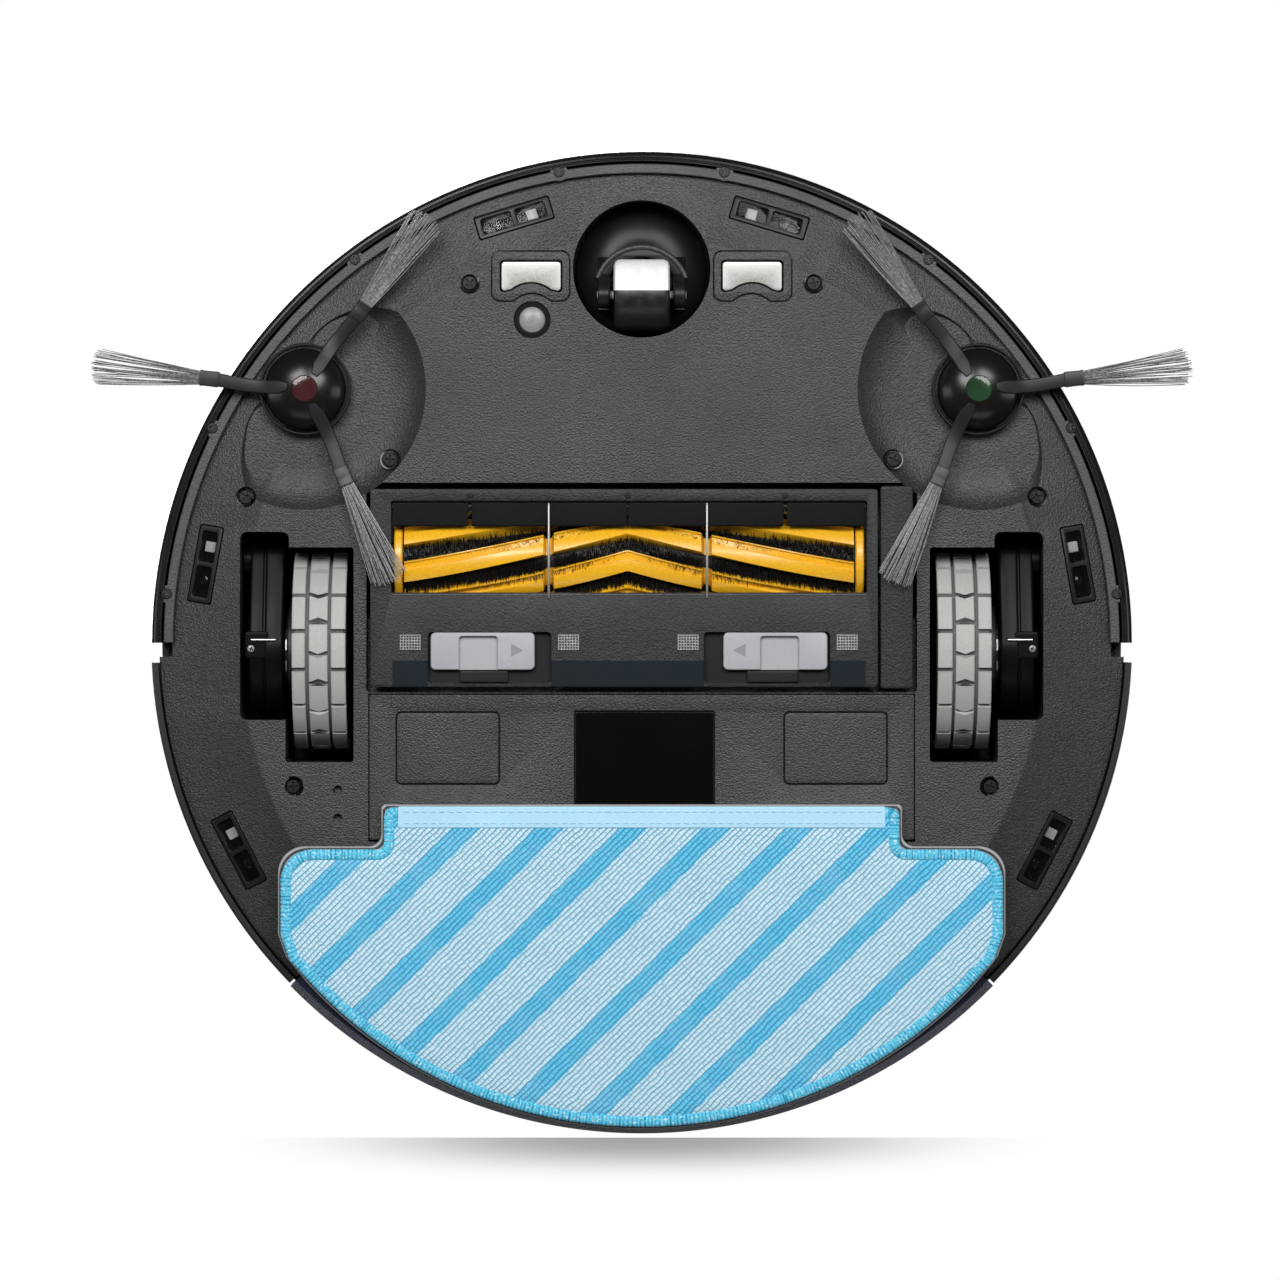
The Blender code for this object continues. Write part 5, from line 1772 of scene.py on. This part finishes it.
def stripe_factor(tree, softness=0.0005):
    """1 on the cloth's woven stripes and 0 between them."""
    coord = added(tree, "TexCoord")
    split = added(tree, "SeparateXYZ")
    tree.links.new(coord.outputs["Object"], split.inputs[0])
    wobble = noise(tree, 0.006, 3)

    def math_node(operation, a, b):
        node = added(tree, "Math", operation=operation)
        for socket, value in zip(node.inputs, (a, b)):
            if isinstance(value, (int, float)):
                socket.default_value = value
            else:
                tree.links.new(value, socket)
        return node.outputs[0]

    line = math_node("ADD", split.outputs["X"], math_node("MULTIPLY", split.outputs["Y"], STRIPE_SLOPE))
    line = math_node("ADD", line, math_node("MULTIPLY", math_node("SUBTRACT", wobble, 0.5), 0.0022))
    turns = math_node(
        "DIVIDE", math_node("ADD", line, 40 * STRIPE_PITCH - STRIPE_START + STRIPE_PITCH / 2), STRIPE_PITCH,
    )
    phase = math_node("SUBTRACT", math_node("FRACT", turns, 0), 0.5)
    away = math_node("MULTIPLY", math_node("ABSOLUTE", phase, 0), STRIPE_PITCH)
    half = STRIPE_WIDE / 2 * math.hypot(STRIPE_SLOPE, 1)
    return ranged(tree, away, 1, 0, half - softness, half + softness), coord


def make_terry():
    """Looped microfibre: pale blue with deeper stripes, in rows that run along the stripes, with painted shade in the
    gaps between the loops.
    """
    tree, shader = new_material("terry_blue")
    stripe, coord = stripe_factor(tree)
    turn = added(tree, "Mapping")
    turn.inputs["Rotation"].default_value = (0, 0, math.atan2(1, STRIPE_SLOPE))
    tree.links.new(coord.outputs["Object"], turn.inputs["Vector"])
    rows = added(tree, "Mapping")
    rows.inputs["Scale"].default_value = (1 / LOOP_LONG, 1 / LOOP_WIDE, 0)
    tree.links.new(turn.outputs["Vector"], rows.inputs["Vector"])
    strayed = added(tree, "VectorMath", operation="MULTIPLY_ADD")
    stray = added(tree, "TexNoise")
    stray.inputs["Scale"].default_value = 1 / 0.005
    tree.links.new(coord.outputs["Object"], stray.inputs["Vector"])
    tree.links.new(stray.outputs["Color"], strayed.inputs[0])
    strayed.inputs[1].default_value = (0.9, 0.9, 0)
    tree.links.new(rows.outputs["Vector"], strayed.inputs[2])
    loops = added(tree, "TexVoronoi")
    loops.inputs["Scale"].default_value = 1.0
    loops.inputs["Randomness"].default_value = 0.28
    tree.links.new(strayed.outputs["Vector"], loops.inputs["Vector"])
    split = added(tree, "SeparateXYZ")
    tree.links.new(strayed.outputs["Vector"], split.inputs[0])
    seam = split.outputs["Y"]
    for operation, value in (("FRACT", 0), ("SUBTRACT", 0.5), ("ABSOLUTE", 0)):
        node = added(tree, "Math", operation=operation)
        node.inputs[1].default_value = value
        tree.links.new(seam, node.inputs[0])
        seam = node.outputs[0]
    between = ranged(tree, seam, 1, 0, 0.04, 0.17)
    widest = added(tree, "Math", operation="MAXIMUM")
    tree.links.new(between, widest.inputs[0])
    tree.links.new(ranged(tree, loops.outputs["Distance"], 0, 0.6, 0.36, 0.62), widest.inputs[1])
    gap = widest.outputs[0]
    fuzz = noise(tree, 0.0004, 3)
    patches = noise(tree, 0.012, 3)
    # Painted shade: the gaps between loops take much darker blues than the loops themselves.
    pale = blended(tree, gap, (0.60, 0.80, 0.91), (0.13, 0.43, 0.60))
    deep = blended(tree, gap, (0.14, 0.58, 0.84), (0.03, 0.30, 0.56))
    colour = blended(tree, stripe, pale, deep)
    colour = blended(tree, ranged(tree, patches, 0, 0.12, 0.4, 0.8), colour, (0.75, 0.85, 0.93))
    tree.links.new(colour, shader.inputs["Base Color"])
    tree.links.new(ranged(tree, fuzz, 0.85, 1.0), shader.inputs["Roughness"])
    shader.inputs["Sheen Weight"].default_value = 0.15
    shader.inputs["Sheen Roughness"].default_value = 0.5
    shader.inputs["Specular IOR Level"].default_value = 0.15
    bumped(tree, shader, [(gap, -0.0004, 0.9), (fuzz, 0.0001, 0.5)])


LOOP_LONG, LOOP_WIDE = 0.0013, 0.0016


def make_thread(name, light, dark):
    """Thread wound over an edge: each turn is painted bright on its crown, a painted highlight, and dark beside it,
    painted shade.
    """
    tree, shader = new_material(name)
    turns = added(tree, "Attribute", attribute_name="stitch")
    fuzz = noise(tree, 0.0005, 3)
    # Painted highlight and painted shade: each turn's stored crown takes the light colour, its sides the dark one.
    colour = blended(tree, ranged(tree, turns.outputs["Fac"], 0, 1, 0.45, 0.97), dark, light)
    flecks = noise(tree, 0.0009, 2)
    colour = blended(tree, ranged(tree, flecks, 0, 0.75, 0.56, 0.66), colour, (0.72, 0.92, 0.97))
    colour = blended(tree, ranged(tree, fuzz, 0, 0.5, 0.35, 0.75), colour, dark)
    tree.links.new(colour, shader.inputs["Base Color"])
    tree.links.new(ranged(tree, fuzz, 0.6, 0.85), shader.inputs["Roughness"])
    shader.inputs["Sheen Weight"].default_value = 0.1
    bumped(tree, shader, [(fuzz, 0.0001, 0.6)])


def make_mop():
    low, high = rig.box("mop_plate")
    sheet = plate("mop_plate_sheet", [mop_outline(0.0, 4)], low.z, high.z, 0.0008)
    dress(sheet, "mop", "plate_grey", "plate_grey", ["mop_plate"])
    rim = [(x, y, low.z + 0.0001) for x, y in mop_outline(0.0010, 4)]
    dress(tube("mop_plate_rim", rim, 0.0005, 2, True), "mop", "ring_grey", "plate_grey")
    make_cloth()


def make_tank():
    """The smoky mop tank, hollow, with its filler plug."""
    mouth = MOUTH - Vector((0.0008, -0.0003))
    angle = math.degrees(math.atan2(mouth.y, mouth.x))
    front = [(0.1187, BAY_FRONT + 0.0006), (0.1187, 0.1166)]
    outline = mirrored([*front, *arc((0, 0), BODY_R, angle, 90, 48)])
    tank = plate("tank_shell", [outline], TANK_LOW.z, TANK_HIGH.z, 0.0008)
    inner = mirrored(
        [(0.1162, BAY_FRONT + 0.003), (0.1162, 0.1176), *arc((0, 0), BODY_R - 0.0025, angle + 0.8, 90, 48)],
    )
    inside_tool = plate("tank_inside", [inner], TANK_LOW.z + 0.0025, TANK_HIGH.z - 0.0025)
    hole = rod("filler_hole", 0.009, (0.070, 0.100, 0.03), (0.070, 0.100, 0.06), 48)
    tank = carved(tank, (), [inside_tool, hole], 30)
    dress(tank, "tank", "smoky_tank", "smoky_tank", ["tank_body"])
    top = TANK_HIGH.z - 0.0002
    plug = [(0, top), (0.0080, top), (0.0086, top - 0.0006), (0.0086, top - 0.006), (0, top - 0.006)]
    dress(turned("tank_plug", plug, 48, (0.070, 0.100, 0)), "tank", "satin_black", "satin_black")


# Top and inside


def carry(node, material):
    """Shows a CAD node as it is, with this scene's material."""
    obj = frame["nodes"][node]
    obj.data.materials.clear()
    obj.data.materials.append(bpy.data.materials[f"look_{material}"])
    for polygon in obj.data.polygons:
        polygon.material_index = 0


CARRIED = {
    "battery_pack": "battery_blue",
    "main_board": "board_green",
    "suction_fan": "satin_black",
    "suction_duct": "satin_black",
    "dust_bin": "smoky_tank",
    "bin_filter": "caster_white",
    "brush_motor": "steel",
    "side_brush_motor_left": "steel",
    "side_brush_motor_right": "steel",
    "drive_motor_left": "steel",
    "drive_motor_right": "steel",
    "suspension_spring_left": "steel",
    "suspension_spring_right": "steel",
    "end_bearing_left": "latch_grey",
    "end_bearing_right": "latch_grey",
    "lidar_base": "satin_black",
    "lidar_rotor": "satin_black",
}


def lid_outline(shrink=0.0):
    edge, front = 0.148 - shrink, 0.0064 + shrink
    start = math.degrees(math.asin(front / edge))
    return arc((0, 0), edge, start, 180 - start, 96)


def make_casing():
    """The upper casing: a deck with a rear skirt, open for the mop tank, the dust bin and the button."""
    skirt, low, under = SKIRT_R, 0.0146, DECK_LOW
    profile = [
        (0, DECK_TOP), (0.1705, DECK_TOP), (0.1720, DECK_TOP - 0.0003), (0.1732, DECK_TOP - 0.0010),
        (0.1738, DECK_TOP - 0.0019), (skirt, DECK_TOP - 0.0030), (skirt, low + 0.0008),
        (skirt - 0.0002, low + 0.0003), (skirt - 0.0008, low), (skirt - 0.0024, low),
        (skirt - 0.0024, under), (0, under),
    ]
    tools = [
        front_cutter(0.1686, 0.0075, 0.0740),
        plate("skirt_bay", [bay_outline(0)], 0.002, BAY_TOP),
        plate("lid_recess", [lid_outline(-0.0004)], 0.0756, 0.085),
        box("bin_hatch", (-0.0945, 0.0195, 0.07), (0.0425, 0.0725, 0.08)),
        rod("button_hole", 0.0086, (0, BUTTON.y, 0.07), (0, BUTTON.y, 0.08), 64),
    ]
    casing = carved(turned("casing", profile, 240), (), tools, 25)
    dress(casing, "chassis", "deck_black", "satin_black", ["top_shell"])


def make_top():
    """The upper side: casing, lid, laser turret, button, and the pieces that the CAD shows well enough."""
    make_casing()
    low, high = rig.box("lid")
    lid = plate("lid_sheet", [lid_outline()], low.z, high.z, 0.0005)
    grip = plate(
        "grip", [rounded((-0.018, 0.1405), (0.018, 0.1445), 0.0019)], high.z - 0.0010, high.z + 0.002,
    )
    lid = carved(lid, (), [grip], 30)
    dress(lid, "lid", "lid_black", "gloss_black", ["lid"])
    cap = [
        (0, TURRET_TOP), (0.0380, TURRET_TOP), (0.0404, TURRET_TOP - 0.0003), (0.0421, TURRET_TOP - 0.0011),
        (0.0430, TURRET_TOP - 0.0025), (0.0430, 0.0900), (0.0428, 0.0898), (0, 0.0898),
    ]
    posts = []
    for i in range(4):
        a = math.radians(45 + 90 * i)
        x, y = 0.038 * math.cos(a), TURRET.y + 0.038 * math.sin(a)
        posts.append(rod("post", 0.0026, (x, y, 0.0818), (x, y, 0.0905), 20))
    roof = turned("turret_roof", cap, 120, (0, TURRET.y, 0))
    dress(joined("turret_cap", [roof, *posts], 30), "chassis", "lid_black", "gloss_black", ["lidar_cap"])
    ring = [
        (0.0335, TURRET_TOP - 0.0002), (0.0335, TURRET_TOP - 0.0012), (0.0328, TURRET_TOP - 0.0012),
        (0.0328, TURRET_TOP - 0.0002),
    ]
    dress(turned("turret_ring", ring, 120, (0, TURRET.y, 0)), "chassis", "satin_black", "satin_black")
    button = [
        (0, 0.0783), (0.0050, 0.0784), (0.0068, 0.0786), (0.0078, 0.0785), (0.0082, 0.0780),
        (0.0082, 0.0758), (0.0050, 0.0756), (0.0050, 0.0720), (0, 0.0720),
    ]
    dress(
        turned("button_cap", button, 72, (0, BUTTON.y, 0)), "start_button", "hub_grey", "hub_grey",
        ["start_button"],
    )
    collar = [
        (0.0100, DECK_TOP + 0.0003), (0.0104, DECK_TOP - 0.0002), (0.0086, DECK_TOP - 0.0002),
        (0.0089, DECK_TOP + 0.0003),
    ]
    dress(turned("button_collar", collar, 72, (0, BUTTON.y, 0)), "chassis", "steel", "steel")
    seam = [
        (0.1662, DECK_TOP + 0.00015), (0.1667, DECK_TOP - 0.0003), (0.1653, DECK_TOP - 0.0003),
        (0.1658, DECK_TOP + 0.00015),
    ]
    dress(turned("deck_ring", seam, 200), "chassis", "gloss_black", "gloss_black")
    for node, material in CARRIED.items():
        carry(node, material)


def write_size(low, high, path="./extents.json"):
    new_low, new_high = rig.bounds()
    sizes = {"cad": [list(low), list(high)], "scene": [list(new_low), list(new_high)]}
    with open(path, "w") as file:
        json.dump(sizes, file)


def main():
    make_world()
    make_camera()
    make_floor()
    make_area("key_right", (-0.40, -0.62, -1.30), (0, 0, 0), (0.6, 0.6), 13.6)
    make_area("key_left", (0.40, -0.62, -1.30), (0, 0, 0), (0.6, 0.6), 12.4)
    make_area("low", (0.0, 1.10, -0.90), (0, 0.05, 0), (1.6, 0.4), 2)
    make_area("edge_right", (-1.3, 0.0, -0.35), (0, 0, 0), (0.4, 1.2), 3)
    make_area("edge_left", (1.3, 0.0, -0.35), (0, 0, 0), (0.4, 1.2), 3)
    make_area("top", (-0.5, -0.5, 1.3), (0, 0, 0.05), (1.0, 1.0), 7)
    make_area("top_fill", (0.9, 0.7, 1.0), (0, 0, 0.05), (1.0, 1.0), 5)
    make_sun("sky", (-0.35, -0.35, 1.0), 2.6)
    make_shadow()
    make_materials()
    make_two_tone()
    make_terry()
    # The border thread's light colour is a painted highlight on each turn's crown, its dark colour painted shade.
    make_thread("border_cyan", (0.13, 0.66, 0.90), (0.01, 0.27, 0.46))
    make_belly()
    make_belly_screws()
    make_contacts()
    make_rear_panel()
    make_lenses()
    make_bumper()
    make_caster()
    rng = random.Random(11)
    for name, side in SIDES:
        make_arm(name, side)
        make_tyre(name, side)
        make_hub(name, side)
        make_side_brush(name, side, rng)
    make_roller()
    make_guard()
    make_flap()
    make_wires()
    make_latch("left", (0.029, 0.066), (0.035, -1, 0.042, 0.056))
    make_latch("right", (-0.075, -0.038), (-0.0445, 1, -0.065, -0.051))
    make_mop()
    make_tank()
    make_top()
    write_size(*CAD_BOX)


main()
